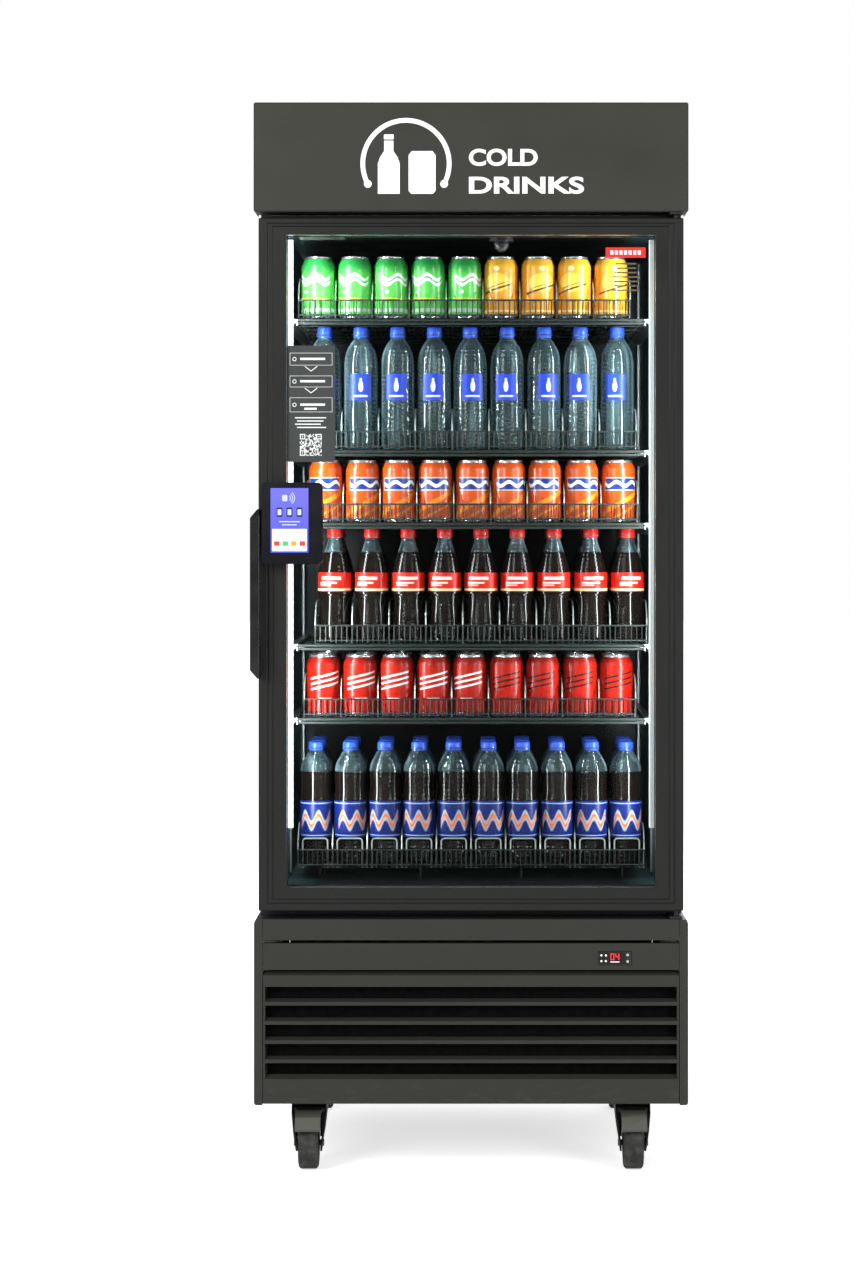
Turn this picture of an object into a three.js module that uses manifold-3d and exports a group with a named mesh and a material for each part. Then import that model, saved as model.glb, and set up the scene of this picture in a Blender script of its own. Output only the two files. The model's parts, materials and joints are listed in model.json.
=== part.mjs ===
// Refrigerated glass-door vending cabinet on four casters, in millimetres.
// X points right and Z up. Y points back: y = 0 is the plane of the door, header and base fronts.
import * as THREE from 'three';
import { ConvexGeometry } from 'three/addons/geometries/ConvexGeometry.js';
import { mergeVertices } from 'three/addons/utils/BufferGeometryUtils.js';
import Module from 'manifold-3d';

const wasm = await Module();
wasm.setup();

// ---- driving dimensions ------------------------------------------------------------------
const GAP = 0.3; // between pieces that touch
const SHEET = 2; // steel sheet
const HALF_BODY = 408.5; // door and cabinet body
const HALF_BASE = 418; // header and base
const DEPTH = 758;
const PROUD = 40; // how far the handle stands in front of the door

const BASE_BOTTOM = 138; // caster height
const BASE_TOP = 495;
const DOOR_BOTTOM = 511;
const DOOR_TOP = 1843;
const HEADER_BOTTOM = 1855;
const HEADER_TOP = 2065;
const HEADER_DEPTH = 100;

const DOOR_THICK = 50;
const SIGHT_HALF = 355; // half width of the glass opening
const SIGHT_BOTTOM = 555;
const SIGHT_TOP = 1811;
const REBATE = 10; // how far the panes reach behind the sight edge
const HINGE_X = 394;
const HINGE_Y = 14;

const FACE_FRONT = 62; // front of the face frame, behind the gasket
const CASE_FRONT = 66;
const CASE_TOP = 2061;
const FOAM_TOP = 1883;
const ROOM_HALF = 362; // clear interior
const ROOM_BOTTOM = 551;
const ROOM_TOP = 1823;
const ROOM_BACK = 700;

const SHELF_TOPS = [1661, 1401, 1257, 1017, 871];
const FLOOR_RACK_TOP = 573;
const SHELF_HALF = 345.7;
const SHELF_FRONT = 148;
const SHELF_BACK = 640;
const LANE_PITCH = 73;
const LANES = 9;
const FLOOR_LANE_PITCH = 68.6;
const FLOOR_LANES = 10;
const FENCE_HEIGHT = 37;
const DIVIDER_HEIGHT = 85;
const RACK_SHIFTS = [-13, -1, 2, 20, -2]; // how far each rack sits off the shelf's middle

const STRIP = 17; // side strips of the base
const GRILLE_TOP = 387.5;
const LOUVRE_TOP = 365.5;
const BOTTOM_PANEL_TOP = 188;
const SLAT_LIP = 7;
const SLAT_PITCH = 36.86;
const SLAT_FIRST = 329.4;
const SLATS = 4;

const CASTER_X = 315.5;
const CASTER_Y = 110;
const REAR_CASTER_Y = 640;
const CASTER_PLATE = 4;
const WHEEL_RADIUS = 50;
const WHEEL_HALF = 19;
const TRAIL = 38;
const AXLE_RADIUS = 6;
const PEDAL_Y = -30;
const PEDAL_Z = 112;

const CONDENSER_FAN = { x: -140, y: 108, z: 312, radius: 112 };
const EVAPORATOR_FAN = { x: 0, y: 677, z: 1712, radius: 70 };
const CONTROLLER = { x: 276.5, z: 420.5, width: 64.4, height: 26.4 };
const INLET = { x: -330, z: 220 };
const CONDENSER = { half: 200, y0: 34, y1: 90.5, z0: 162, z1: 462, fins: 11 };
const EVAPORATOR = { half: 250, y0: 654, y1: 696, z0: 1440, z1: 1600, fins: 10 };
const COMPRESSOR = { x: -170, y: 440 };
const DRIP_TRAY = { x0: 60, x1: 360, y0: 430, y1: 690, height: 52 };
const DUCT = { half: 340, front: 646 };
const LIGHT = { inside: 346.5, outside: 361.6, y0: 68, y1: 85, z0: 663, z1: 1808 };
const LOCK = { x0: -335, x1: -245, magnetFront: 69, magnetBack: 99, bottom: 1811 };
const GASKET = { half: 382, bottom: 525, top: 1839, width: 16 };
const HANDLE = { outside: -421.6, inside: -403.8, low: 959, high: 1283, foot: 52 };
const TERMINAL = { x0: -399.7, x1: -284, z0: 1178, z1: 1334, front: -38 };
const SCREEN = { x0: -382.3, x1: -310, z0: 1199.8, z1: 1323 };

// ---- materials ---------------------------------------------------------------------------
function material(color, roughness, metalness = 0) {
  return new THREE.MeshStandardMaterial({ color, roughness, metalness });
}

const paint = () => material(0x4a4b45, 0.5, 0.2);
const blackPlastic = () => material(0x121314, 0.5);
const blackSteel = () => material(0x1b1d1d, 0.45, 0.4);
const zinc = () => material(0xa9adb0, 0.4, 0.9);
const lining = () => material(0x16201f, 0.55);
const rackWire = () => material(0x2b3331, 0.35, 0.6);

// ---- shapes ------------------------------------------------------------------------------
function block(x0, x1, y0, y1, z0, z1) {
  const geometry = new THREE.BoxGeometry(x1 - x0, y1 - y0, z1 - z0);
  return geometry.translate((x0 + x1) / 2, (y0 + y1) / 2, (z0 + z1) / 2);
}

// A block whose twelve edges are cut at 45 degrees.
function chamferBlock(x0, x1, y0, y1, z0, z1, cut) {
  const corners = [];
  for (const [x, inX] of [[x0, cut], [x1, -cut]]) {
    for (const [y, inY] of [[y0, cut], [y1, -cut]]) {
      for (const [z, inZ] of [[z0, cut], [z1, -cut]]) {
        corners.push(new THREE.Vector3(x, y + inY, z + inZ));
        corners.push(new THREE.Vector3(x + inX, y, z + inZ));
        corners.push(new THREE.Vector3(x + inX, y + inY, z));
      }
    }
  }
  return new ConvexGeometry(corners);
}

function outline(points) {
  return new THREE.Shape(points.map(([a, b]) => new THREE.Vector2(a, b)));
}

function extrude(shape, length) {
  return new THREE.ExtrudeGeometry(shape, { depth: length, bevelEnabled: false, curveSegments: 3 });
}

// Extrusion along X of a section given as [y, z].
function alongX(points, x0, x1) {
  const turn = new THREE.Matrix4().set(0, 0, 1, x0, 1, 0, 0, 0, 0, 1, 0, 0, 0, 0, 0, 1);
  return extrude(outline(points), x1 - x0).applyMatrix4(turn);
}

// Extrusion along Y of a shape drawn in x and z.
function shapeAlongY(shape, y0, y1) {
  const turn = new THREE.Matrix4().set(1, 0, 0, 0, 0, 0, -1, y1, 0, 1, 0, 0, 0, 0, 0, 1);
  return extrude(shape, y1 - y0).applyMatrix4(turn);
}

function alongY(points, y0, y1) {
  return shapeAlongY(outline(points), y0, y1);
}

function alongZ(points, z0, z1) {
  return extrude(outline(points), z1 - z0).translate(0, 0, z0);
}

// Rectangular ring round the door or its opening, extruded along Y.
function ring(outer, inner, y0, y1) {
  const shape = outline(rectangle(outer));
  shape.holes.push(outline(rectangle(inner)));
  return shapeAlongY(shape, y0, y1);
}

function rectangle({ half, bottom, top }) {
  return [[-half, bottom], [half, bottom], [half, top], [-half, top]];
}

function roundedRectangle(x0, x1, z0, z1, radius) {
  const shape = new THREE.Shape();
  const quarter = Math.PI / 2;
  shape.absarc(x1 - radius, z0 + radius, radius, -quarter, 0);
  shape.absarc(x1 - radius, z1 - radius, radius, 0, quarter);
  shape.absarc(x0 + radius, z1 - radius, radius, quarter, 2 * quarter);
  shape.absarc(x0 + radius, z0 + radius, radius, 2 * quarter, 3 * quarter);
  return shape;
}

function rodX(radius, x0, x1, y, z, segments = 16) {
  const rod = new THREE.CylinderGeometry(radius, radius, x1 - x0, segments);
  return rod.rotateZ(Math.PI / 2).translate((x0 + x1) / 2, y, z);
}

function rodY(radius, y0, y1, x, z, segments = 24) {
  const rod = new THREE.CylinderGeometry(radius, radius, y1 - y0, segments);
  return rod.translate(x, (y0 + y1) / 2, z);
}

function rodZ(radius, z0, z1, x, y, segments = 24) {
  const rod = new THREE.CylinderGeometry(radius, radius, z1 - z0, segments);
  return rod.rotateX(Math.PI / 2).translate(x, y, (z0 + z1) / 2);
}

// ---- joining and cutting -----------------------------------------------------------------
function toSolid(geometry) {
  const bare = geometry.clone();
  bare.deleteAttribute('normal');
  bare.deleteAttribute('uv');
  const merged = mergeVertices(bare);
  const vertProperties = new Float32Array(merged.attributes.position.array);
  const triVerts = new Uint32Array(merged.index.array);
  return new wasm.Manifold(new wasm.Mesh({ numProp: 3, vertProperties, triVerts }));
}

function toGeometry(solid) {
  const mesh = solid.getMesh();
  const geometry = new THREE.BufferGeometry();
  geometry.setAttribute('position', new THREE.BufferAttribute(mesh.vertProperties, 3));
  geometry.setIndex(new THREE.BufferAttribute(mesh.triVerts, 1));
  geometry.computeVertexNormals();
  return geometry;
}

function join(...pieces) {
  return toGeometry(pieces.map(toSolid).reduce((all, piece) => all.add(piece)));
}

function cut(body, ...tools) {
  return toGeometry(tools.map(toSolid).reduce((rest, tool) => rest.subtract(tool), toSolid(body)));
}

function common(first, second) {
  return toGeometry(toSolid(first).intersect(toSolid(second)));
}

// ---- scene graph -------------------------------------------------------------------------
const machine = new THREE.Group();
machine.position.y = -(DEPTH - PROUD) / 2;

function group(parent, x = 0, y = 0, z = 0) {
  const child = new THREE.Group();
  child.position.set(x, y, z);
  parent.add(child);
  return child;
}

function add(parent, name, geometry, look) {
  const mesh = new THREE.Mesh(geometry, look);
  mesh.name = name;
  parent.add(mesh);
  return mesh;
}

const cabinet = group(machine);
const door = group(machine);

// ---- cabinet body ------------------------------------------------------------------------
const CASE_BOTTOM = BASE_TOP + GAP;
const INNER_BODY = HALF_BODY - SHEET;
const LINER = 1.5;

function wrapper() {
  const roof = CASE_TOP - SHEET;
  return alongY([
    [-HALF_BODY, CASE_BOTTOM], [-INNER_BODY, CASE_BOTTOM], [-INNER_BODY, roof], [INNER_BODY, roof],
    [INNER_BODY, CASE_BOTTOM], [HALF_BODY, CASE_BOTTOM], [HALF_BODY, CASE_TOP], [-HALF_BODY, CASE_TOP],
  ], CASE_FRONT + GAP, DEPTH - 0.5);
}

function rearPanel() {
  const half = INNER_BODY - GAP;
  return block(-half, half, DEPTH - 2.5, DEPTH - 0.5, CASE_BOTTOM, CASE_TOP - SHEET - GAP);
}

function foam() {
  const half = INNER_BODY - GAP;
  const hollow = ROOM_HALF + LINER + GAP;
  return cut(
    block(-half, half, CASE_FRONT + GAP, DEPTH - 2.8, CASE_BOTTOM + 1, FOAM_TOP),
    block(-hollow, hollow, 0, ROOM_BACK + LINER + GAP, ROOM_BOTTOM - LINER - GAP, ROOM_TOP + LINER + GAP),
  );
}

function liner() {
  const half = ROOM_HALF + LINER;
  return cut(
    block(-half, half, CASE_FRONT + GAP, ROOM_BACK + LINER, ROOM_BOTTOM - LINER, ROOM_TOP + LINER),
    block(-ROOM_HALF, ROOM_HALF, 0, ROOM_BACK, ROOM_BOTTOM, ROOM_TOP),
  );
}

function faceFrame() {
  const outer = { half: HALF_BODY, bottom: CASE_BOTTOM, top: HEADER_BOTTOM - GAP };
  const inner = { half: ROOM_HALF - 1, bottom: ROOM_BOTTOM + 1, top: ROOM_TOP - 1 };
  return ring(outer, inner, FACE_FRONT, CASE_FRONT);
}

add(cabinet, 'cabinet_wrapper', wrapper(), paint());
add(cabinet, 'rear_panel', rearPanel(), zinc());
add(cabinet, 'cabinet_foam', foam(), material(0xd8c890, 0.9));
add(cabinet, 'cabinet_liner', liner(), lining());
add(cabinet, 'face_frame', faceFrame(), blackPlastic());

// ---- header ------------------------------------------------------------------------------
// A deep tray that stands in front of the case and laps over its top front edge.
function headerPanel() {
  const inside = HALF_BASE - SHEET;
  return cut(
    chamferBlock(-HALF_BASE, HALF_BASE, 0, HEADER_DEPTH, HEADER_BOTTOM, HEADER_TOP, 2.5),
    block(-inside, inside, SHEET, HEADER_DEPTH + 1, HEADER_BOTTOM + SHEET, HEADER_TOP - SHEET),
    block(-inside, inside, FACE_FRONT - 2, HEADER_DEPTH + 1, HEADER_BOTTOM - 1, HEADER_BOTTOM + 3),
  );
}

function controlComputer() {
  const ports = [-60, -20, 20, 60].map((x) => block(x - 9, x + 9, 172, 181, 1895, 1909));
  return join(chamferBlock(-110, 110, 180, 330, FOAM_TOP + GAP, 1931, 3), ...ports);
}

add(cabinet, 'header_panel', headerPanel(), paint());
add(cabinet, 'control_computer', controlComputer(), blackSteel());

// ---- machine compartment -----------------------------------------------------------------
const FLOOR_TOP = BASE_BOTTOM + 3;
const WALL = 2.5;

// Half plan of the side wall: front strip, rounded corner, side, rear return.
function sideWallPlan(side) {
  const corner = 9;
  const points = [[HALF_BASE - STRIP, WALL], [HALF_BASE - STRIP, 0]];
  for (let part = 0; part <= 4; part += 1) {
    const angle = (part / 4) * (Math.PI / 2);
    points.push([HALF_BASE - corner + corner * Math.sin(angle), corner - corner * Math.cos(angle)]);
  }
  points.push([HALF_BASE, DEPTH], [HALF_BASE - STRIP, DEPTH], [HALF_BASE - STRIP, DEPTH - WALL]);
  points.push([HALF_BASE - WALL, DEPTH - WALL], [HALF_BASE - WALL, corner]);
  points.push([HALF_BASE - corner, WALL]);
  return points.map(([x, y]) => [side * x, y]);
}

// Casters bolt up to four plates under the floor.
function casterPlates() {
  const plates = [];
  for (const x of [-CASTER_X, CASTER_X]) {
    for (const y of [CASTER_Y, REAR_CASTER_Y]) {
      plates.push(block(x - 38, x + 38, y - 45, y + 45, BASE_BOTTOM - CASTER_PLATE, BASE_BOTTOM + 2));
    }
  }
  return plates;
}

function baseChassis() {
  const rail = HALF_BASE - STRIP - 0.8;
  const within = HALF_BASE - WALL + 0.2;
  const flange = HALF_BASE - 32;
  const silhouette = alongY([
    [HALF_BASE - 3, BASE_BOTTOM], [HALF_BASE, BASE_BOTTOM + 3], [HALF_BASE, BASE_TOP - 9],
    [HALF_BASE - 4, BASE_TOP], [4 - HALF_BASE, BASE_TOP], [-HALF_BASE, BASE_TOP - 9],
    [-HALF_BASE, BASE_BOTTOM + 3], [3 - HALF_BASE, BASE_BOTTOM],
  ], -1, DEPTH + 1);
  const walls = [-1, 1].map((side) => (
    common(alongZ(sideWallPlan(side), BASE_BOTTOM, BASE_TOP), silhouette)
  ));
  return join(
    ...walls,
    block(-within, within, 7, DEPTH - 1.2, BASE_BOTTOM + 1.2, FLOOR_TOP),
    block(-rail, rail, 0, 2.8, BASE_TOP - 40, BASE_TOP),
    block(-HALF_BASE + 10, HALF_BASE - 10, 2.2, 5.2, BASE_TOP - 34, BASE_TOP - 0.1),
    block(-HALF_BASE + 10, HALF_BASE - 10, 3, FACE_FRONT + 8, BASE_TOP - 2.4, BASE_TOP - 0.1),
    block(-HALF_BASE + 10, HALF_BASE - 10, DEPTH - 5, DEPTH - 1, BASE_TOP - 30, BASE_TOP - 0.1),
    block(-within, -flange, 5, DEPTH - 1.4, BASE_TOP - 7.2, BASE_TOP - 4.4),
    block(flange, within, 5, DEPTH - 1.4, BASE_TOP - 7.2, BASE_TOP - 4.4),
    ...casterPlates(),
  );
}

function controlFascia() {
  const half = HALF_BASE - STRIP - 1.4;
  const low = 397.5;
  const high = 448.8;
  const section = [
    [1, low], [1, high], [14, high], [14, high - 2.5], [3.5, high - 2.5], [3.5, low + 2.5],
    [14, low + 2.5], [14, low],
  ];
  const wide = CONTROLLER.width / 2 + GAP;
  const tall = CONTROLLER.height / 2 + GAP;
  const window = block(
    CONTROLLER.x - wide, CONTROLLER.x + wide, -5, 8, CONTROLLER.z - tall, CONTROLLER.z + tall,
  );
  return cut(alongX(section, -half, half), window);
}

// Folded strip: an upright front face whose top edge leans back and up.
function foldedStrip(bottom, top, back, rise, half) {
  const thick = 1.6;
  return alongX([
    [0, bottom], [0, top], [back, top + rise], [back, top + rise - thick], [thick, top - thick],
    [thick, bottom],
  ], -half, half);
}

function grillePanel() {
  const half = HALF_BASE - STRIP - 1.2;
  const strips = [
    foldedStrip(LOUVRE_TOP, GRILLE_TOP, 14, 6.5, half),
    foldedStrip(FLOOR_TOP, BOTTOM_PANEL_TOP, 14, 7, half),
  ];
  for (let slat = 0; slat < SLATS; slat += 1) {
    const low = SLAT_FIRST - slat * SLAT_PITCH;
    strips.push(foldedStrip(low, low + SLAT_LIP, 14, 4.5, half));
  }
  const ends = [-1, 1].map((side) => {
    const xs = [side * (half - 4), side * (half - 0.1)].sort((a, b) => a - b);
    return block(xs[0], xs[1], 1, 22, FLOOR_TOP + 6, GRILLE_TOP - 2);
  });
  return join(...strips, ...ends);
}

function rearGrille() {
  const slots = [];
  for (const x of [-190, 190]) {
    for (let row = 0; row < 7; row += 1) {
      const z = 270 + row * 24;
      slots.push(block(x - 160, x + 160, DEPTH - 20, DEPTH, z, z + 9));
    }
  }
  const half = HALF_BASE - STRIP - 1;
  const hole = block(INLET.x - 25, INLET.x + 25, DEPTH - 20, DEPTH, INLET.z - 15, INLET.z + 15);
  return cut(block(-half, half, DEPTH - 8, DEPTH - 5.3, FLOOR_TOP + GAP, BASE_TOP - 8), hole, ...slots);
}

add(cabinet, 'base_chassis', baseChassis(), paint());
add(cabinet, 'control_fascia', controlFascia(), paint());
add(cabinet, 'grille_panel', grillePanel(), paint());
add(cabinet, 'rear_grille', rearGrille(), blackSteel());

// ---- controller --------------------------------------------------------------------------
const BUTTON_X = 24.4;
const BUTTON_Z = 6.2;
const controller = group(cabinet, CONTROLLER.x, 0, CONTROLLER.z);

function controllerHousing() {
  const wide = CONTROLLER.width / 2;
  const tall = CONTROLLER.height / 2;
  const holes = [-BUTTON_Z, BUTTON_Z].map((z) => rodY(3, -2, 5, BUTTON_X, z, 12));
  return cut(chamferBlock(-wide, wide, -0.5, 45, -tall, tall, 0.8), ...holes);
}

function button() {
  return join(rodY(2.6, -1, 3.6, 0, 0, 12), rodY(1.9, -1.4, 0, 0, 0, 12));
}

add(controller, 'controller_housing', controllerHousing(), blackPlastic());
for (const [name, z] of [['controller_button_up', BUTTON_Z], ['controller_button_down', -BUTTON_Z]]) {
  add(controller, name, button(), material(0xb9c4c0, 0.5)).position.set(BUTTON_X, 0, z);
}

// ---- refrigeration -----------------------------------------------------------------------
// Finned block, its fins standing along Y.
function finnedCoil({ half, y0, y1, z0, z1, fins }, middle) {
  const x0 = middle - half;
  const pitch = (2 * half) / fins;
  const groove = (y1 - y0) * 0.3;
  const front = [];
  const back = [];
  for (let fin = 0; fin < fins; fin += 1) {
    const x = x0 + fin * pitch;
    front.push([x, y0], [x + pitch * 0.5, y0]);
    back.push([x, y1], [x + pitch * 0.5, y1]);
    if (fin < fins - 1) {
      front.push([x + pitch * 0.5, y0 + groove], [x + pitch, y0 + groove]);
      back.push([x + pitch * 0.5, y1 - groove], [x + pitch, y1 - groove]);
    }
  }
  return alongZ([...front, ...back.reverse()], z0, z1);
}

function fanBlade(radius, hub, blades, tilt, depth) {
  const parts = [rodY(hub, -depth / 2, depth / 2, 0, 0, 20)];
  for (let index = 0; index < blades; index += 1) {
    const reach = radius - hub + 4;
    const blade = block(-radius * 0.2, radius * 0.2, -1.2, 1.2, 0, reach);
    blade.rotateZ(tilt).translate(0, 0, hub - 4).rotateY((index / blades) * 2 * Math.PI);
    parts.push(blade);
  }
  return join(...parts);
}

function fanShroud() {
  const { x, z } = CONDENSER_FAN;
  const bore = CONDENSER_FAN.radius + 6;
  const plate = block(x - CONDENSER.half, x + CONDENSER.half, 91, 93.5, z - 150, z + 150);
  const collar = rodY(bore + 3, 92, 128, x, z, 28);
  const barrel = cut(join(plate, collar), rodY(bore, 80, 140, x, z, 28));
  const arms = [0, 1, 2].map((index) => {
    const arm = block(-7, 7, 122, 128, 20, bore + 1.5);
    return arm.rotateY((index / 3) * 2 * Math.PI).translate(x, 0, z);
  });
  return join(barrel, ...arms, rodY(32, 120, 168, x, z, 20));
}

function compressor() {
  const profile = [[0, 0], [66, 0], [78, 14], [80, 60], [80, 120], [74, 160], [52, 184], [0, 192]];
  const dome = new THREE.LatheGeometry(profile.map(([r, h]) => new THREE.Vector2(r, h)), 16);
  dome.rotateX(Math.PI / 2).translate(0, 0, 16);
  const feet = [];
  for (const x of [-95, 95]) {
    for (const y of [-62, 62]) {
      feet.push(rodZ(11, 0, 17, x, y, 12));
    }
  }
  const terminalBox = chamferBlock(72, 106, -28, 28, 70, 130, 3);
  return join(dome, block(-112, 112, -76, 76, 14, 18), terminalBox, ...feet);
}

function dripTray() {
  const { x0, x1, y0, y1, height } = DRIP_TRAY;
  const wall = 2.5;
  return cut(
    block(x0, x1, y0, y1, FLOOR_TOP + GAP, FLOOR_TOP + height),
    block(x0 + wall, x1 - wall, y0 + wall, y1 - wall, FLOOR_TOP + 3, FLOOR_TOP + height + 8),
  );
}

function powerInlet() {
  const socket = cut(
    join(
      block(-24.5, 24.5, DEPTH - 38, DEPTH - 4, -14.5, 14.5),
      chamferBlock(-31, 31, DEPTH - 5, DEPTH - 1.5, -20, 20, 1),
    ),
    block(-15, 15, DEPTH - 24, DEPTH + 1, -9, 9),
  );
  const pins = [[-8, -2], [0, 3], [8, -2]].map(([x, z]) => (
    block(x - 1, x + 1, DEPTH - 26, DEPTH - 8, z - 2.5, z + 2.5)
  ));
  return join(socket, ...pins);
}

const { x: fanX, y: fanY, z: fanZ } = CONDENSER_FAN;
add(cabinet, 'condenser_coil', finnedCoil(CONDENSER, fanX), blackSteel());
add(cabinet, 'condenser_fan_shroud', fanShroud(), blackSteel());
const condenserFan = group(cabinet, fanX, fanY, fanZ);
add(condenserFan, 'condenser_fan_blade', fanBlade(CONDENSER_FAN.radius, 30, 5, 0.5, 18), zinc());
add(group(cabinet, COMPRESSOR.x, COMPRESSOR.y, FLOOR_TOP + GAP), 'compressor', compressor(), blackSteel());
add(cabinet, 'drip_tray', dripTray(), blackPlastic());
add(group(cabinet, INLET.x, 0, INLET.z), 'power_inlet', powerInlet(), blackPlastic());

// ---- evaporator behind the rear duct -----------------------------------------------------
function evaporatorCover() {
  const { x, z, radius } = EVAPORATOR_FAN;
  const { half, front } = DUCT;
  const inside = half - SHEET;
  const tray = cut(
    block(-half, half, front, ROOM_BACK - GAP, ROOM_BOTTOM + 6, ROOM_TOP - 8),
    block(-inside, inside, front + SHEET, ROOM_BACK + 1, ROOM_BOTTOM + 8, ROOM_TOP - 10),
  );
  const slots = [-240, -120, 0, 120, 240].map((at) => (
    block(at - 40, at + 40, front - 6, front + 4, 600, 616)
  ));
  const opened = cut(tray, rodY(radius + 5, front - 6, front + 6, x, z, 24), ...slots);
  const arms = [0, 1, 2].map((index) => {
    const arm = block(-5, 5, front, front + SHEET, 10, radius + 12);
    return arm.rotateY((index / 3) * 2 * Math.PI).translate(x, 0, z);
  });
  return join(opened, ...arms, rodY(24, front, front + 18, x, z, 16));
}

const { x: coolX, y: coolY, z: coolZ } = EVAPORATOR_FAN;
add(cabinet, 'evaporator_cover', evaporatorCover(), lining());
add(cabinet, 'evaporator_coil', finnedCoil(EVAPORATOR, 0), zinc());
const evaporatorFan = group(cabinet, coolX, coolY, coolZ);
add(evaporatorFan, 'evaporator_fan_blade', fanBlade(EVAPORATOR_FAN.radius, 20, 5, 0.5, 16), blackPlastic());

// ---- shelves and racks -------------------------------------------------------------------
// The shelf's own frame: x centred, z = 0 at its top face.
function shelf() {
  const lip = 14;
  const plate = 5;
  const slots = [];
  for (let lane = 0; lane < LANES; lane += 1) {
    const x = (lane - (LANES - 1) / 2) * LANE_PITCH;
    slots.push(block(x - 26, x + 26, SHELF_FRONT + 30, SHELF_BACK - 25, -20, 1));
  }
  const body = join(
    block(-SHELF_HALF, SHELF_HALF, SHELF_FRONT, SHELF_BACK, -plate, 0),
    block(-SHELF_HALF, SHELF_HALF, SHELF_FRONT, SHELF_FRONT + 4, -lip, -1),
    block(-330, 330, SHELF_BACK - 4, SHELF_BACK, -lip, -1),
  );
  return cut(body, ...slots);
}

// Lane rack: floor, front fence and upright dividers with a rounded front top corner.
function laneRack(lanes, pitch) {
  const front = SHELF_FRONT + 2;
  const back = SHELF_BACK - 8;
  const half = (lanes * pitch) / 2;
  const divider = [
    [front + 1, 1], [back, 1], [back, DIVIDER_HEIGHT - 25], [back - 25, DIVIDER_HEIGHT],
    [front + 48, DIVIDER_HEIGHT], [front + 18, DIVIDER_HEIGHT - 12], [front + 1, FENCE_HEIGHT],
  ];
  const parts = [
    block(-half - 1.5, half + 1.5, front, back, 0, 2.7),
    block(-half - 1.5, half + 1.5, front, front + 3, 0, FENCE_HEIGHT),
  ];
  for (let line = 0; line <= lanes; line += 1) {
    const x = line * pitch - half;
    parts.push(alongX(divider, x - 1.5, x + 1.5));
  }
  return join(...parts);
}

// The floor rack is a lane rack that stands on its own runners.
function floorRack() {
  const runners = [-300, -100, 100, 300].map((x) => (
    block(x - 4, x + 4, SHELF_FRONT + 6, SHELF_BACK - 12, ROOM_BOTTOM - FLOOR_RACK_TOP + GAP, 1)
  ));
  return join(laneRack(FLOOR_LANES, FLOOR_LANE_PITCH), ...runners);
}

SHELF_TOPS.forEach((top, index) => {
  add(group(cabinet, 0, 0, top), `shelf_${index + 1}`, shelf(), rackWire());
  const rack = group(cabinet, RACK_SHIFTS[index], 0, top + GAP);
  add(rack, `lane_rack_${index + 1}`, laneRack(LANES, LANE_PITCH), rackWire());
});
add(group(cabinet, 0, 0, FLOOR_RACK_TOP), 'floor_rack', floorRack(), rackWire());

// Welded side frame: two uprights on the wall and a ledge with a sloping underside per shelf.
function sideFrame(side) {
  const wall = ROOM_HALF - GAP;
  const reach = SHELF_HALF + GAP;
  const upright = (y) => {
    const xs = [side * wall, side * (wall - 4)].sort((a, b) => a - b);
    return block(xs[0], xs[1], y, y + 20, ROOM_BOTTOM + 10, ROOM_TOP - 8);
  };
  const ledges = SHELF_TOPS.map((top) => alongY([
    [wall, 0], [reach, 0], [reach, -5.3], [reach - 10, -5.3], [reach - 10, -7.3], [reach + 2, -7.3],
    [wall, -24],
  ].map(([x, z]) => [side * x, top + z]), SHELF_FRONT + 5, SHELF_BACK - 6));
  return join(upright(190), upright(590), ...ledges);
}

add(cabinet, 'side_frame_left', sideFrame(-1), zinc());
add(cabinet, 'side_frame_right', sideFrame(1), zinc());

// ---- fittings round the opening ----------------------------------------------------------
function lightStrip(side) {
  const { inside, outside, y0, y1, z0, z1 } = LIGHT;
  const section = [
    [outside, y0], [inside + 2.5, y0], [inside, y0 + 4], [inside + 1.5, y1 - 4], [outside, y1],
  ];
  return alongZ(section.map(([x, y]) => [side * x, y]), z0, z1);
}

function ceilingCamera() {
  const lens = new THREE.SphereGeometry(15, 12, 6);
  return join(lens.translate(0, 0, -16), rodZ(24, -11, -GAP, 0, 0, 16));
}

// Plate with its pin, lying on z = 0; up is 1 where the plate and pin stand above z = 0, or -1.
function hingeBracket(up) {
  const [plateLow, plateHigh] = [up * GAP, up * 5.3].sort((a, b) => a - b);
  const [pinLow, pinHigh] = [up * 4, up * 24].sort((a, b) => a - b);
  return join(
    chamferBlock(HINGE_X - 12, HINGE_X + 13, 2, FACE_FRONT - GAP, plateLow, plateHigh, 0.8),
    rodZ(4, pinLow, pinHigh, HINGE_X, HINGE_Y, 12),
  );
}

function lockMagnet() {
  const { x0, x1, magnetFront, magnetBack, bottom } = LOCK;
  return chamferBlock(x0, x1, magnetFront, magnetBack, bottom, ROOM_TOP - GAP, 1);
}

const ledWhite = () => material(0xf4fbff, 0.4);
add(cabinet, 'led_strip_left', lightStrip(-1), ledWhite());
add(cabinet, 'led_strip_right', lightStrip(1), ledWhite());
add(group(cabinet, 60, 140, ROOM_TOP), 'ceiling_camera', ceilingCamera(), blackPlastic());
add(cabinet, 'lock_magnet', lockMagnet(), zinc());
add(group(cabinet, 0, 0, BASE_TOP), 'hinge_bracket_bottom', hingeBracket(1), zinc());
add(group(cabinet, 0, 0, HEADER_BOTTOM), 'hinge_bracket_top', hingeBracket(-1), zinc());

// ---- door --------------------------------------------------------------------------------
// Rectangle a share of the way from the door's outer edge (0) to the edge of the glass (1).
function step(share) {
  return {
    half: HALF_BODY - share * (HALF_BODY - SIGHT_HALF),
    bottom: DOOR_BOTTOM + share * (SIGHT_BOTTOM - DOOR_BOTTOM),
    top: DOOR_TOP - share * (DOOR_TOP - SIGHT_TOP),
  };
}

// Rectangle a distance outside the visible edge of the glass.
function behindSight(distance) {
  return { half: SIGHT_HALF + distance, bottom: SIGHT_BOTTOM - distance, top: SIGHT_TOP + distance };
}

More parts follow.
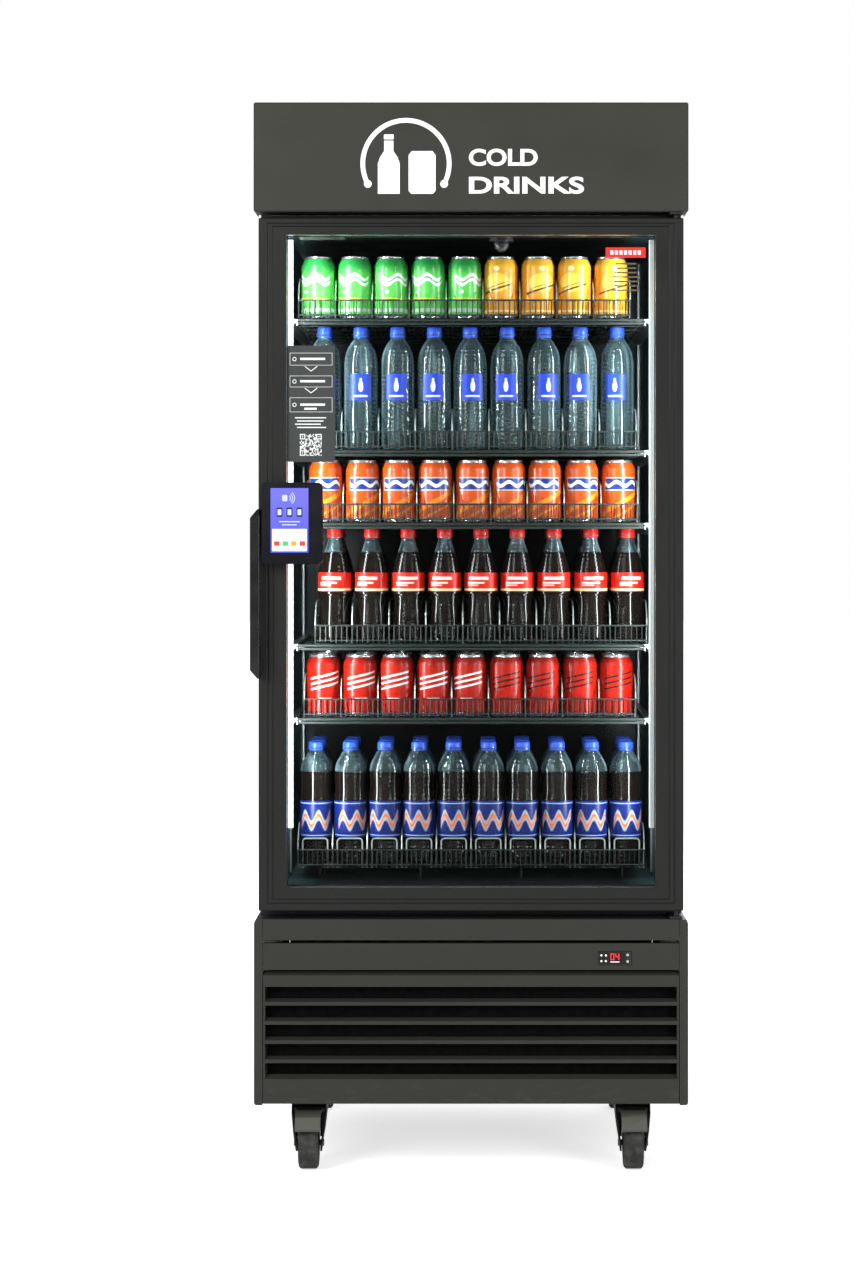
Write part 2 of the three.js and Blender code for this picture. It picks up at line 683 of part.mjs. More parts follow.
function doorFrame() {
  const blank = chamferBlock(-HALF_BODY, HALF_BODY, 0, DOOR_THICK, DOOR_BOTTOM, DOOR_TOP, 2);
  const sight = block(-SIGHT_HALF, SIGHT_HALF, -5, DOOR_THICK + 5, SIGHT_BOTTOM, SIGHT_TOP);
  return cut(
    blank,
    sight,
    ring(step(0.31), step(0.365), -1, 2.5),
    ring(step(0.49), step(0.53), -1, 2.5),
    ring(step(0.52), behindSight(-1), -1, 1.2),
    ring(behindSight(REBATE), behindSight(-1), 9, 41),
    rodZ(4.6, DOOR_BOTTOM - 5, DOOR_BOTTOM + 14, HINGE_X, HINGE_Y, 12),
    rodZ(4.6, DOOR_TOP - 14, DOOR_TOP + 5, HINGE_X, HINGE_Y, 12),
  );
}

function pane(y0, y1) {
  const half = SIGHT_HALF + REBATE - GAP;
  return block(-half, half, y0, y1, SIGHT_BOTTOM - REBATE + GAP, SIGHT_TOP + REBATE - GAP);
}

function gasket() {
  const { half, bottom, top, width } = GASKET;
  const outer = { half, bottom, top };
  const inner = { half: half - width, bottom: bottom + width, top: top - (width - 2) };
  return ring(outer, inner, DOOR_THICK + GAP, FACE_FRONT - GAP);
}

// Bow handle on the free edge: two feet on the side face and a grip in front of the door.
function handle() {
  const { low, high, foot, outside, inside } = HANDLE;
  const grip = alongX([
    [-PROUD, low + 12], [-PROUD, high - 12], [-PROUD + 8, high], [-GAP, high], [-GAP, high - foot + 8],
    [-12, high - foot - 14], [-22, high - foot - 26], [-22, low + foot + 26], [-12, low + foot + 14],
    [-GAP, low + foot - 8], [-GAP, low], [-PROUD + 8, low],
  ], outside, inside);
  const feet = [[low, low + foot - 8], [high - foot + 8, high]].map(([z0, z1]) => (
    block(outside, -HALF_BODY - GAP, -2, 34, z0, z1)
  ));
  const front = alongY([
    [-403, low], [-403, high], [-408, high], [outside, high - 17], [outside, low + 17], [-408, low],
  ], -PROUD - 5, 60);
  return common(join(grip, ...feet), front);
}

function terminalHousing() {
  const { x0, x1, z0, z1, front } = TERMINAL;
  const bevel = 1.5;
  const slim = roundedRectangle(x0 + bevel, x1 - bevel, z0 + bevel, z1 - bevel, 7.5);
  const body = shapeAlongY(roundedRectangle(x0, x1, z0, z1, 9), front + bevel, -GAP);
  return cut(
    join(body, shapeAlongY(slim, front, front + 2)),
    block(SCREEN.x0 - GAP, SCREEN.x1 + GAP, front - 2, front + 1.6, SCREEN.z0 - GAP, SCREEN.z1 + GAP),
    block(-372, -316, front - 2, front + 1.5, 1184, 1188),
  );
}

function terminalScreen() {
  return block(SCREEN.x0, SCREEN.x1, TERMINAL.front + 0.2, TERMINAL.front + 1.3, SCREEN.z0, SCREEN.z1);
}

function lockArmature() {
  const back = LOCK.magnetFront - 0.6;
  return chamferBlock(LOCK.x0, LOCK.x1, DOOR_THICK + GAP, back, LOCK.bottom + 1, LOCK.bottom + 9.5, 1);
}

const clearGlass = () => material(0xdfeceb, 0.05);
add(door, 'door_frame', doorFrame(), paint());
add(door, 'door_glass_outer', pane(9.4, 13.4), clearGlass());
add(door, 'door_glass_inner', pane(29.4, 33.4), clearGlass());
add(door, 'door_gasket', gasket(), material(0x0d0d0d, 0.8));
add(door, 'door_handle', handle(), blackPlastic());
add(door, 'lock_armature', lockArmature(), zinc());
add(door, 'terminal_housing', terminalHousing(), material(0x0a0c14, 0.15));
add(door, 'terminal_screen', terminalScreen(), material(0x3d46b4, 0.1));

// ---- casters -----------------------------------------------------------------------------
// One leg of the fork: it leans in towards the wheel and narrows to the axle.
function forkLeg(side) {
  const front = [
    [34, 131], [31, 131], [31, 110], [27, 76], [23, 50], [22, 34], [25.5, 34], [26.5, 48],
    [30.5, 74], [34, 108],
  ];
  const profile = [
    [-34, 131], [34, 131], [30, 112], [-16, 44], [-28, 35], [-44, 34], [-54, 44], [-55, 60], [-44, 104],
  ];
  return common(alongY(front.map(([x, z]) => [side * x, z]), -70, 50), alongX(profile, -40, 40));
}

// The apron closes the fork between its legs, behind the brake pedal and clear of the wheel.
function fork() {
  const top = BASE_BOTTOM - CASTER_PLATE - GAP;
  const apron = [[-33, 130], [33, 130], [33, 112], [29, 99], [-29, 99], [-33, 112]];
  return join(
    rodZ(33, 123, top, 0, 0, 18),
    block(-33.5, 33.5, -33, 33, 127, 130.9),
    forkLeg(-1),
    forkLeg(1),
    alongY(apron, -19, -15.5),
    rodX(AXLE_RADIUS, -26, 26, -TRAIL, WHEEL_RADIUS, 12),
  );
}

// Wheel: bore, hub and a tread with rounded shoulders, on an axle along X.
function wheel() {
  const bore = AXLE_RADIUS + 0.8;
  const section = [
    [bore, -20], [14, -20], [16, -15], [38, -WHEEL_HALF], [46, -WHEEL_HALF], [WHEEL_RADIUS, -15],
    [WHEEL_RADIUS, 15], [46, WHEEL_HALF], [38, WHEEL_HALF], [16, 15], [14, 20], [bore, 20], [bore, -20],
  ];
  const tyre = new THREE.LatheGeometry(section.map(([r, x]) => new THREE.Vector2(r, x)), 22);
  return tyre.rotateZ(-Math.PI / 2);
}

function brakePedal() {
  const arm = alongX([
    [-26, -3], [-26, 4], [-36, 6], [-42, 3], [-56, -4], [-66, -26], [-63, -30], [-60.5, -28],
    [-52, -8], [-40, -2],
  ].map(([y, z]) => [y + 2, z]), -24.5, 24.5);
  const tail = block(-24.5, 24.5, -28, 0, -3, 4);
  return join(rodX(5, -30.2, 30.2, 0, 0, 12), tail, arm);
}

for (const [end, y] of [['front', CASTER_Y], ['rear', REAR_CASTER_Y]]) {
  for (const [hand, x] of [['left', -CASTER_X], ['right', CASTER_X]]) {
    const caster = group(cabinet, x, y, 0);
    add(caster, `caster_fork_${end}_${hand}`, fork(), blackSteel());
    const hub = group(caster, 0, -TRAIL, WHEEL_RADIUS);
    add(hub, `caster_wheel_${end}_${hand}`, wheel(), material(0x2e2f2d, 0.7));
    if (end === 'front') {
      const pivot = group(caster, 0, PEDAL_Y, PEDAL_Z);
      add(pivot, `brake_pedal_${hand}`, brakePedal(), material(0x55564f, 0.6));
    }
  }
}

export default machine;
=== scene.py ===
"""Looks of the glass-door vending cabinet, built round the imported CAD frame.

Metres, +Z up, the door faces -Y.
"""

import json
import math
import random

import bmesh
import bpy
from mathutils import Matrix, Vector

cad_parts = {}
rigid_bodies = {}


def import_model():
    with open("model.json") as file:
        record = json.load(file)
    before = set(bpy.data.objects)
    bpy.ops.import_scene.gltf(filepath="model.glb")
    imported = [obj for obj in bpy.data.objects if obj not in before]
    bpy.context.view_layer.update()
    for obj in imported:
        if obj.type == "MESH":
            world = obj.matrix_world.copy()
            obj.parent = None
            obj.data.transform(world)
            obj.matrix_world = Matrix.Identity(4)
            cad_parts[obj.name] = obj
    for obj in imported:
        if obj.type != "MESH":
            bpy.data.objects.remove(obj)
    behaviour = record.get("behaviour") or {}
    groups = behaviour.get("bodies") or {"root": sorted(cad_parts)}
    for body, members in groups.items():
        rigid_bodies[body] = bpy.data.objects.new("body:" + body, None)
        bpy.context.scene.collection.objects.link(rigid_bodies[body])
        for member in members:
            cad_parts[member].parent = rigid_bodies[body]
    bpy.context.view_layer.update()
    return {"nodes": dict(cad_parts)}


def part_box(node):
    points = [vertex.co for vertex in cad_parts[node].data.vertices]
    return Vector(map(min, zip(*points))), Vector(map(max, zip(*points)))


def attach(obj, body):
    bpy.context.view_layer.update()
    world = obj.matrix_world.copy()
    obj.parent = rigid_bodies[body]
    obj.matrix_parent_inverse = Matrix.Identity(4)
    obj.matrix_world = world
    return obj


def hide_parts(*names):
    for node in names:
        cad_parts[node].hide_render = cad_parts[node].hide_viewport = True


for leftover in list(bpy.data.objects):
    bpy.data.objects.remove(leftover)
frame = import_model()
nodes = frame["nodes"]
rng = random.Random(11)
MM = 0.001


def linear(channel):
    """Linear value of one sRGB channel given from 0 to 255."""
    if channel > 10:
        return ((channel / 255 + 0.055) / 1.055) ** 2.4
    return channel / 255 / 12.92


def rgb(red, green, blue):
    """Linear colour of an sRGB colour given from 0 to 255."""
    return (linear(red), linear(green), linear(blue), 1.0)


def scaled(color, share):
    return (*(min(1.0, c * share) for c in color[:3]), 1.0)


def put(name, data):
    """A new object of this data, linked into the scene."""
    made = bpy.data.objects.new(name, data)
    bpy.context.scene.collection.objects.link(made)
    return made


# ---- materials ---------------------------------------------------------------------------


class Look:
    """A material with one Principled shader and short calls for its nodes."""

    def __init__(self, name, color, roughness=0.5, metallic=0.0, **sockets):
        self.material = bpy.data.materials.new(name)
        self.material.use_nodes = True
        self.tree = self.material.node_tree
        self.tree.nodes.clear()
        self.out = self.node("OutputMaterial")
        base = {"Base Color": color, "Roughness": roughness, "Metallic": metallic}
        self.shader = self.node("BsdfPrincipled", base)
        for key, value in sockets.items():
            self.shader.inputs[key.replace("_", " ")].default_value = value
        self.surface(self.shader.outputs[0])
        self.point = self.node("TexCoord").outputs["Object"]

    def node(self, kind, inputs=None, **settings):
        made = self.tree.nodes.new("ShaderNode" + kind)
        for key, value in settings.items():
            setattr(made, key, value)
        for key, value in (inputs or {}).items():
            if isinstance(value, bpy.types.NodeSocket):
                self.tree.links.new(value, made.inputs[key])
            else:
                made.inputs[key].default_value = value
        return made

    def noise(self, scale, detail=2.0, stretch=None):
        point = self.point
        if stretch:
            point = self.node("Mapping", {"Vector": point, "Scale": stretch}).outputs[0]
        return self.node("TexNoise", {"Vector": point, "Scale": scale, "Detail": detail}).outputs["Fac"]

    def cells(self, scale):
        return self.node("TexVoronoi", {"Vector": self.point, "Scale": scale}).outputs["Distance"]

    def span(self, value, low, high, out_low=0.0, out_high=1.0):
        inputs = {"Value": value, "From Min": low, "From Max": high, "To Min": out_low, "To Max": out_high}
        return self.node("MapRange", inputs).outputs["Result"]

    def math(self, operation, a, b=0.0):
        return self.node("Math", {0: a, 1: b}, operation=operation).outputs[0]

    def mix(self, factor, a, b):
        return self.node("Mix", {0: factor, 6: a, 7: b}, data_type="RGBA").outputs[2]

    def axis(self, vector, which):
        return self.node("SeparateXYZ", {0: vector}).outputs[which]

    def feed(self, socket, value):
        self.tree.links.new(value, self.shader.inputs[socket])

    def color(self, value):
        self.feed("Base Color", value)

    def rough(self, value):
        self.feed("Roughness", value)

    def uneven(self, scale, detail, low, high, stretch=None):
        """Roughness that drifts between low and high."""
        self.rough(self.span(self.noise(scale, detail, stretch), 0.3, 0.7, low, high))

    def bump(self, height, distance):
        normal = self.node("Bump", {"Height": height, "Distance": distance}).outputs[0]
        self.feed("Normal", normal)
        return normal

    def join(self, factor, a, b):
        """Mix of two shaders."""
        return self.node("MixShader", {0: factor, 1: a, 2: b}).outputs[0]

    def surface(self, shader):
        self.tree.links.new(shader, self.out.inputs["Surface"])

    def shade(self, color, spread, scale, stretch=None):
        """Base colour that varies by a share either side of color."""
        cloud = self.noise(scale, 4.0, stretch)
        mixed = self.mix(cloud, scaled(color, 1 - spread), scaled(color, 1 + spread))
        self.color(mixed)
        return mixed


def painted(name, color, roughness=0.42, scuffs=None):
    """Powder-coated steel: orange-peel grain and cloudy gloss; scuffs gives the heights where wear ends."""
    look = Look(name, color, roughness, Specular_IOR_Level=0.27)
    tone = look.shade(color, 0.07, 6.0)
    look.uneven(9.0, 5.0, roughness - 0.05, roughness + 0.08)
    if scuffs:
        low, high = scuffs
        height = look.span(look.axis(look.point, 2), low, high, 1.0, 0.0)
        specks = look.span(look.noise(70.0, 8.0, (0.35, 1.0, 1.4)), 0.53, 0.7)
        worn = look.math("MULTIPLY", height, specks)
        look.color(look.mix(look.math("MULTIPLY", worn, 0.05), tone, rgb(150, 146, 134)))
    look.bump(look.noise(420.0, 3.0), 0.00005)
    return look.material


def moulded(name, color, roughness=0.42, **sockets):
    """Moulded plastic with a fine spark-eroded grain and finger-polished patches."""
    look = Look(name, color, roughness, **sockets)
    look.shade(color, 0.12, 14.0)
    look.uneven(22.0, 4.0, roughness - 0.08, roughness + 0.1)
    look.bump(look.cells(1600.0), 0.00006)
    return look.material


def metal(name, color, roughness=0.32, stretch=(1.0, 1.0, 30.0)):
    """Bright sheet or plated steel with drawn lines and dull patches."""
    look = Look(name, color, roughness, 0.9)
    look.shade(color, 0.14, 40.0, stretch)
    look.uneven(60.0, 5.0, roughness - 0.08, roughness + 0.14, stretch)
    look.bump(look.noise(300.0, 2.0, stretch), 0.00004)
    return look.material


def spangled(name):
    """Galvanised sheet: crystals of zinc in slightly different greys."""
    look = Look(name, rgb(170, 173, 175), 0.4, 0.85)
    cell = look.node("TexVoronoi", {"Vector": look.point, "Scale": 105.0})
    tone = look.span(look.axis(cell.outputs["Color"], 0), 0.0, 1.0)
    look.color(look.mix(tone, rgb(154, 158, 161), rgb(180, 183, 185)))
    look.rough(look.span(tone, 0.0, 1.0, 0.3, 0.5))
    look.bump(look.noise(25.0, 3.0), 0.0002)
    return look.material


def foamed(name):
    """Cellular foam, a little blotchy."""
    color = rgb(222, 208, 158)
    look = Look(name, color, 0.9)
    look.shade(color, 0.1, 30.0)
    look.bump(look.cells(500.0), 0.0006)
    return look.material


def lining(name, color, painted_glow_walls=None):
    """Dark satin lining of the cold room, a little rippled; the last argument is the side walls' colour, a
    lighter teal of painted light from the light strips beside them.
    """
    look = Look(name, color, 0.34, Specular_IOR_Level=0.22)
    tone = look.shade(color, 0.12, 5.0)
    if painted_glow_walls:
        aside = look.math("ABSOLUTE", look.axis(look.point, 0))
        look.color(look.mix(look.span(aside, 0.3, 0.36), tone, painted_glow_walls))
    look.uneven(12.0, 4.0, 0.28, 0.44)
    look.bump(look.noise(7.0, 2.0, (1.0, 1.0, 0.3)), 0.0012)
    return look.material


def finned(name, color, metallic):
    """Stack of thin fins drawn as fine lines across the block; the darker lines between them are painted
    shade of the gaps.
    """
    look = Look(name, color, 0.45, metallic)
    wave = look.node("TexWave", {"Vector": look.point, "Scale": 130.0}, bands_direction="X").outputs["Fac"]
    look.color(look.mix(look.span(wave, 0.15, 0.5), scaled(color, 0.35), color))
    look.uneven(40.0, 4.0, 0.38, 0.6)
    look.bump(wave, 0.0006)
    return look.material


def coated_wire(name, color, roughness, metallic=0.2):
    """Wire under a thin skin of plastic or plating."""
    look = Look(name, color, roughness, metallic)
    look.shade(color, 0.16, 35.0)
    look.uneven(90.0, 3.0, roughness - 0.06, roughness + 0.12)
    look.bump(look.noise(700.0, 2.0), 0.00004)
    return look.material


def diffuser(name, strength, low_share):
    """Milky cover of a light strip: brighter spots at the diodes, and low down only low_share of the glow."""
    look = Look(name, rgb(245, 250, 252), 0.35, Emission_Strength=strength)
    height = look.axis(look.point, 2)
    spots = look.math("ABSOLUTE", look.math("SINE", look.math("MULTIPLY", height, 190.0)))
    glow = look.mix(look.span(spots, 0.2, 0.9), rgb(214, 232, 236), rgb(250, 255, 255))
    share = look.span(height, 0.9, 1.25, low_share, 1.0)
    glow = look.node("VectorMath", {0: glow, "Scale": share}, operation="SCALE").outputs[0]
    look.feed("Emission Color", glow)
    look.uneven(50.0, 2.0, 0.3, 0.42)
    return look.material


def pane_glass(name, tint, gloss):
    """Clear pane: what is behind shows unbent, with a reflection that grows towards grazing angles."""
    look = Look(name, rgb(225, 238, 236), 0.03, 1.0)
    look.rough(look.span(look.noise(6.0, 3.0), 0.4, 0.8, 0.02, 0.07))
    clear = look.node("BsdfTransparent", {"Color": tint}).outputs[0]
    weight = look.span(look.node("Fresnel", {"IOR": 1.45}).outputs[0], 0.033, 0.8, 0.003, 0.9)
    smear = look.span(look.noise(3.0, 5.0), 0.35, 0.75, 0.85 * gloss, 1.15 * gloss)
    look.surface(look.join(look.math("MULTIPLY", weight, smear), clear, look.shader.outputs[0]))
    return look.material


def rubber(name, color, dust=0.0):
    """Matt black rubber; dust is how much of the patchy dirt shows."""
    look = Look(name, color, 0.75)
    tone = look.shade(color, 0.15, 25.0)
    if dust:
        patches = look.span(look.noise(55.0, 6.0), 0.42, 0.68, 0.0, dust)
        look.color(look.mix(patches, tone, rgb(128, 124, 114)))
    look.uneven(30.0, 3.0, 0.62, 0.85)
    look.bump(look.noise(600.0, 4.0), 0.0001)
    return look.material


def glossy(name, color, roughness=0.08):
    """Piano-gloss moulding with faint smears."""
    look = Look(name, color, roughness, Specular_IOR_Level=0.3)
    look.shade(color, 0.2, 10.0)
    look.rough(look.span(look.noise(16.0, 6.0), 0.4, 0.75, roughness, roughness + 0.16))
    look.bump(look.noise(5.0), 0.0004)
    return look.material


def screen(name, low, high):
    """Lit display: blue to violet from bottom to top."""
    look = Look(name, rgb(20, 24, 60), 0.12, Emission_Strength=0.5)
    height = look.span(look.axis(look.point, 2), low, high)
    ripple = look.math("MULTIPLY", look.noise(18.0, 3.0), 0.25)
    tone = look.mix(look.math("ADD", height, ripple), rgb(66, 72, 186), rgb(96, 96, 194))
    look.color(tone)
    look.feed("Emission Color", tone)
    look.uneven(30.0, 2.0, 0.08, 0.18)
    return look.material


def ink(name, color, glow=0.0, roughness=0.45):
    """Printed or lit graphic; glow is the light of a display's own graphics, and painted light on printed
    sheets and panels that have no lamp.
    """
    look = Look(name, color, roughness, Emission_Strength=glow)
    tone = look.shade(color, 0.05, 60.0)
    if glow:
        look.feed("Emission Color", tone)
    look.uneven(80.0, 3.0, roughness - 0.06, roughness + 0.08)
    look.bump(look.noise(900.0), 0.00002)
    return look.material


class Wrap(Look):
    """Print round a can or bottle. u runs round it, 0.5 at the front, and v up it."""

    def __init__(self, name, color, roughness=0.3, **sockets):
        super().__init__(name, color, roughness, **sockets)
        self.uv = self.node("UVMap", uv_map="wrap").outputs[0]
        self.u, self.v = self.axis(self.uv, 0), self.axis(self.uv, 1)
        tone = self.node("Attribute", attribute_name="tone").outputs["Fac"]
        self.print = self.mix(self.math("MULTIPLY", tone, 0.3), color, scaled(color, 0.7))

    def both(self, a, b):
        return self.math("MULTIPLY", a, b)

    def band(self, value, low, high, soft=0.006):
        """Mask of the stretch where value lies between low and high."""
        return self.both(self.span(value, low - soft, low + soft), self.span(value, high + soft, high - soft))

    def patch(self, left, right, value, low, high):
        """Mask that is bounded by u from left to right and by value from low to high."""
        return self.both(self.band(self.u, left, right), self.band(value, low, high))

    def spot(self, u, v, across, tall):
        shift = self.node("VectorMath", {0: self.uv, 1: (u, v, 0.0)}, operation="SUBTRACT").outputs[0]
        size = (1 / across, 1 / tall, 0.0)
        oval = self.node("VectorMath", {0: shift, 1: size}, operation="MULTIPLY").outputs[0]
        length = self.node("VectorMath", {0: oval}, operation="LENGTH").outputs["Value"]
        return self.span(length, 1.03, 0.97)

    def swing(self, amount, turns, phase=0.0):
        """v moved up and down by a sine of u."""
        angle = self.math("ADD", self.math("MULTIPLY", self.u, 2 * math.pi * turns), phase)
        return self.math("ADD", self.v, self.math("MULTIPLY", self.math("SINE", angle), amount))

    def slant(self, lean):
        """v plus a share of u."""
        return self.math("ADD", self.v, self.math("MULTIPLY", self.u, lean))

    def paint(self, mask, color):
        self.print = self.mix(mask, self.print, color)

    def done(self):
        self.color(self.print)
        self.uneven(60.0, 3.0, 0.24, 0.36)
        return self.material


WHITE, BLACK = rgb(238, 242, 240), rgb(16, 14, 16)


def green_can():
    look = Wrap("can_green", rgb(86, 206, 80), Coat_Weight=0.4)
    front, wave = look.band(look.u, 0.33, 0.68), look.swing(0.045, 5.0, 0.8)
    look.paint(look.span(look.v, 0.74, 0.86), rgb(40, 150, 66))
    look.paint(look.both(front, look.band(wave, 0.58, 0.72)), WHITE)
    look.paint(look.both(front, look.band(wave, 0.635, 0.66)), rgb(46, 160, 60))
    look.paint(look.both(front, look.band(look.slant(0.06), 0.345, 0.37)), rgb(214, 220, 50))
    look.paint(look.spot(0.42, 0.44, 0.02, 0.03), WHITE)
    look.paint(look.band(look.v, 0.1, 0.16), rgb(200, 220, 204))
    return look.done()


def amber_can():
    look = Wrap("can_amber", rgb(240, 160, 34), Coat_Weight=0.4)
    look.paint(look.span(look.v, 0.72, 0.9), rgb(240, 178, 52))
    look.paint(look.spot(0.5, 0.6, 0.13, 0.16), rgb(252, 206, 72))
    brown, stripe = rgb(70, 42, 24), look.slant(-0.55)
    look.paint(look.patch(0.34, 0.66, stripe, 0.2, 0.235), brown)
    look.paint(look.patch(0.4, 0.62, stripe, 0.27, 0.285), brown)
    look.paint(look.spot(0.5, 0.84, 0.03, 0.04), rgb(255, 236, 180))
    look.paint(look.band(look.v, 0.1, 0.13), rgb(255, 226, 150))
    return look.done()


def orange_can():
    look = Wrap("can_orange", rgb(196, 70, 8), Coat_Weight=0.2)
    front, stripe = look.band(look.u, 0.33, 0.68), look.slant(-0.9)
    for low, high in ((-0.18, -0.09), (-0.34, -0.3)):
        look.paint(look.band(stripe, low, high), rgb(226, 126, 22))
    look.paint(look.both(front, look.band(look.v, 0.53, 0.75)), rgb(206, 212, 214))
    look.paint(look.both(front, look.band(look.v, 0.542, 0.738)), rgb(22, 42, 118))
    look.paint(look.both(front, look.band(look.swing(0.035, 6.0), 0.61, 0.67)), WHITE)
    return look.done()


def red_can(name, mark):
    look = Wrap(name, rgb(166, 20, 5), Specular_IOR_Level=0.3)
    front = look.band(look.u, 0.35, 0.66)
    for low in (0.3, 0.39, 0.48):
        look.paint(look.both(front, look.band(look.slant(-0.4), low, low + 0.03)), mark)
    look.paint(look.patch(0.44, 0.56, look.v, 0.3, 0.312), mark)
    look.paint(look.span(look.v, 0.86, 0.93), rgb(128, 14, 6))
    return look.done()


def bottle(name, contents, label, clear_from, color, haze):
    """Plastic bottle: contents up to clear_from, clear above, and the label painted by label(look)."""
    look = Wrap(name, contents, 0.1, Specular_IOR_Level=0.3)
    printed = label(look)
    look.color(look.print)
    smears = look.span(look.noise(25.0), 0.3, 0.7, 0.06, 0.14)
    look.rough(look.math("ADD", look.math("MULTIPLY", printed, 0.25), smears))
    rings = look.math("SINE", look.math("MULTIPLY", look.v, 170.0))
    normal = look.bump(look.math("MULTIPLY", rings, look.math("SUBTRACT", 1.0, printed)), 0.00025)
    clear = look.node("BsdfTransparent", {"Color": color}).outputs[0]
    facing = look.node("LayerWeight", {"Blend": 0.42, "Normal": normal}).outputs["Facing"]
    film = look.node("BsdfPrincipled",
                     {"Base Color": rgb(142, 176, 186), "Normal": normal, "Roughness": 0.08})
    shine = look.node("BsdfPrincipled",
                      {"Base Color": WHITE, "Normal": normal, "Roughness": 0.07, "Metallic": 1.0})
    # The pale film rises from the haze to 0.75 towards the outline, a painted highlight along the edges, and
    # vertical stripes of it are painted light streaks.
    painted_light_streaks = look.span(look.noise(75.0, 2.0, (1.0, 1.0, 0.06)), 0.5, 0.72, 0.0, 0.22)
    weight = look.math("ADD", look.span(facing, 0.4, 1.0, haze, 0.75), painted_light_streaks)
    cloudy = look.join(weight, clear, film.outputs[0])
    mirrored = look.node("Fresnel", {"IOR": 1.5, "Normal": normal}).outputs[0]
    glassy = look.join(mirrored, cloudy, shine.outputs[0])
    if clear_from is None:
        solid = printed
    else:
        solid = look.math("MAXIMUM", printed, look.span(look.v, clear_from + 0.004, clear_from - 0.004))
    look.surface(look.join(solid, glassy, look.shader.outputs[0]))
    return look.material


def water_label(look):
    """Blue patch with a drop and a line under it."""
    patch = look.patch(0.395, 0.605, look.v, 0.42, 0.65)
    drop = look.spot(0.5, 0.54, 0.022, 0.045)
    tip = look.patch(0.491, 0.509, look.v, 0.55, 0.61)
    look.paint(patch, rgb(30, 60, 182))
    look.paint(look.math("MAXIMUM", drop, tip), WHITE)
    look.paint(look.patch(0.43, 0.57, look.v, 0.452, 0.462), WHITE)
    return patch


def red_label(look):
    """Red band all round, with straight bars and a cream edge."""
    label = look.band(look.v, 0.475, 0.65, 0.003)
    look.paint(label, rgb(196, 24, 8))
    look.paint(look.patch(0.4, 0.6, look.v, 0.585, 0.61), rgb(222, 220, 214))
    look.paint(look.patch(0.38, 0.56, look.v, 0.55, 0.56), WHITE)
    look.paint(look.patch(0.38, 0.5, look.v, 0.53, 0.536), WHITE)
    look.paint(look.band(look.v, 0.483, 0.5, 0.003), rgb(238, 226, 180))
    return label


def blue_label(look):
    """Blue band all round, with a waving stripe and a fine line near each edge."""
    label = look.band(look.v, 0.24, 0.555, 0.003)
    front, wave = look.band(look.u, 0.34, 0.68), look.swing(0.045, 7.0)
    look.paint(label, rgb(12, 30, 102))
    look.paint(look.both(front, look.band(wave, 0.345, 0.435)), rgb(150, 158, 172))
    look.paint(look.both(front, look.band(wave, 0.375, 0.405)), rgb(232, 104, 30))
    for low, high in ((0.26, 0.268), (0.53, 0.537)):
        look.paint(look.band(look.v, low, high, 0.002), rgb(150, 176, 230))
    return label


# ---- meshes ------------------------------------------------------------------------------


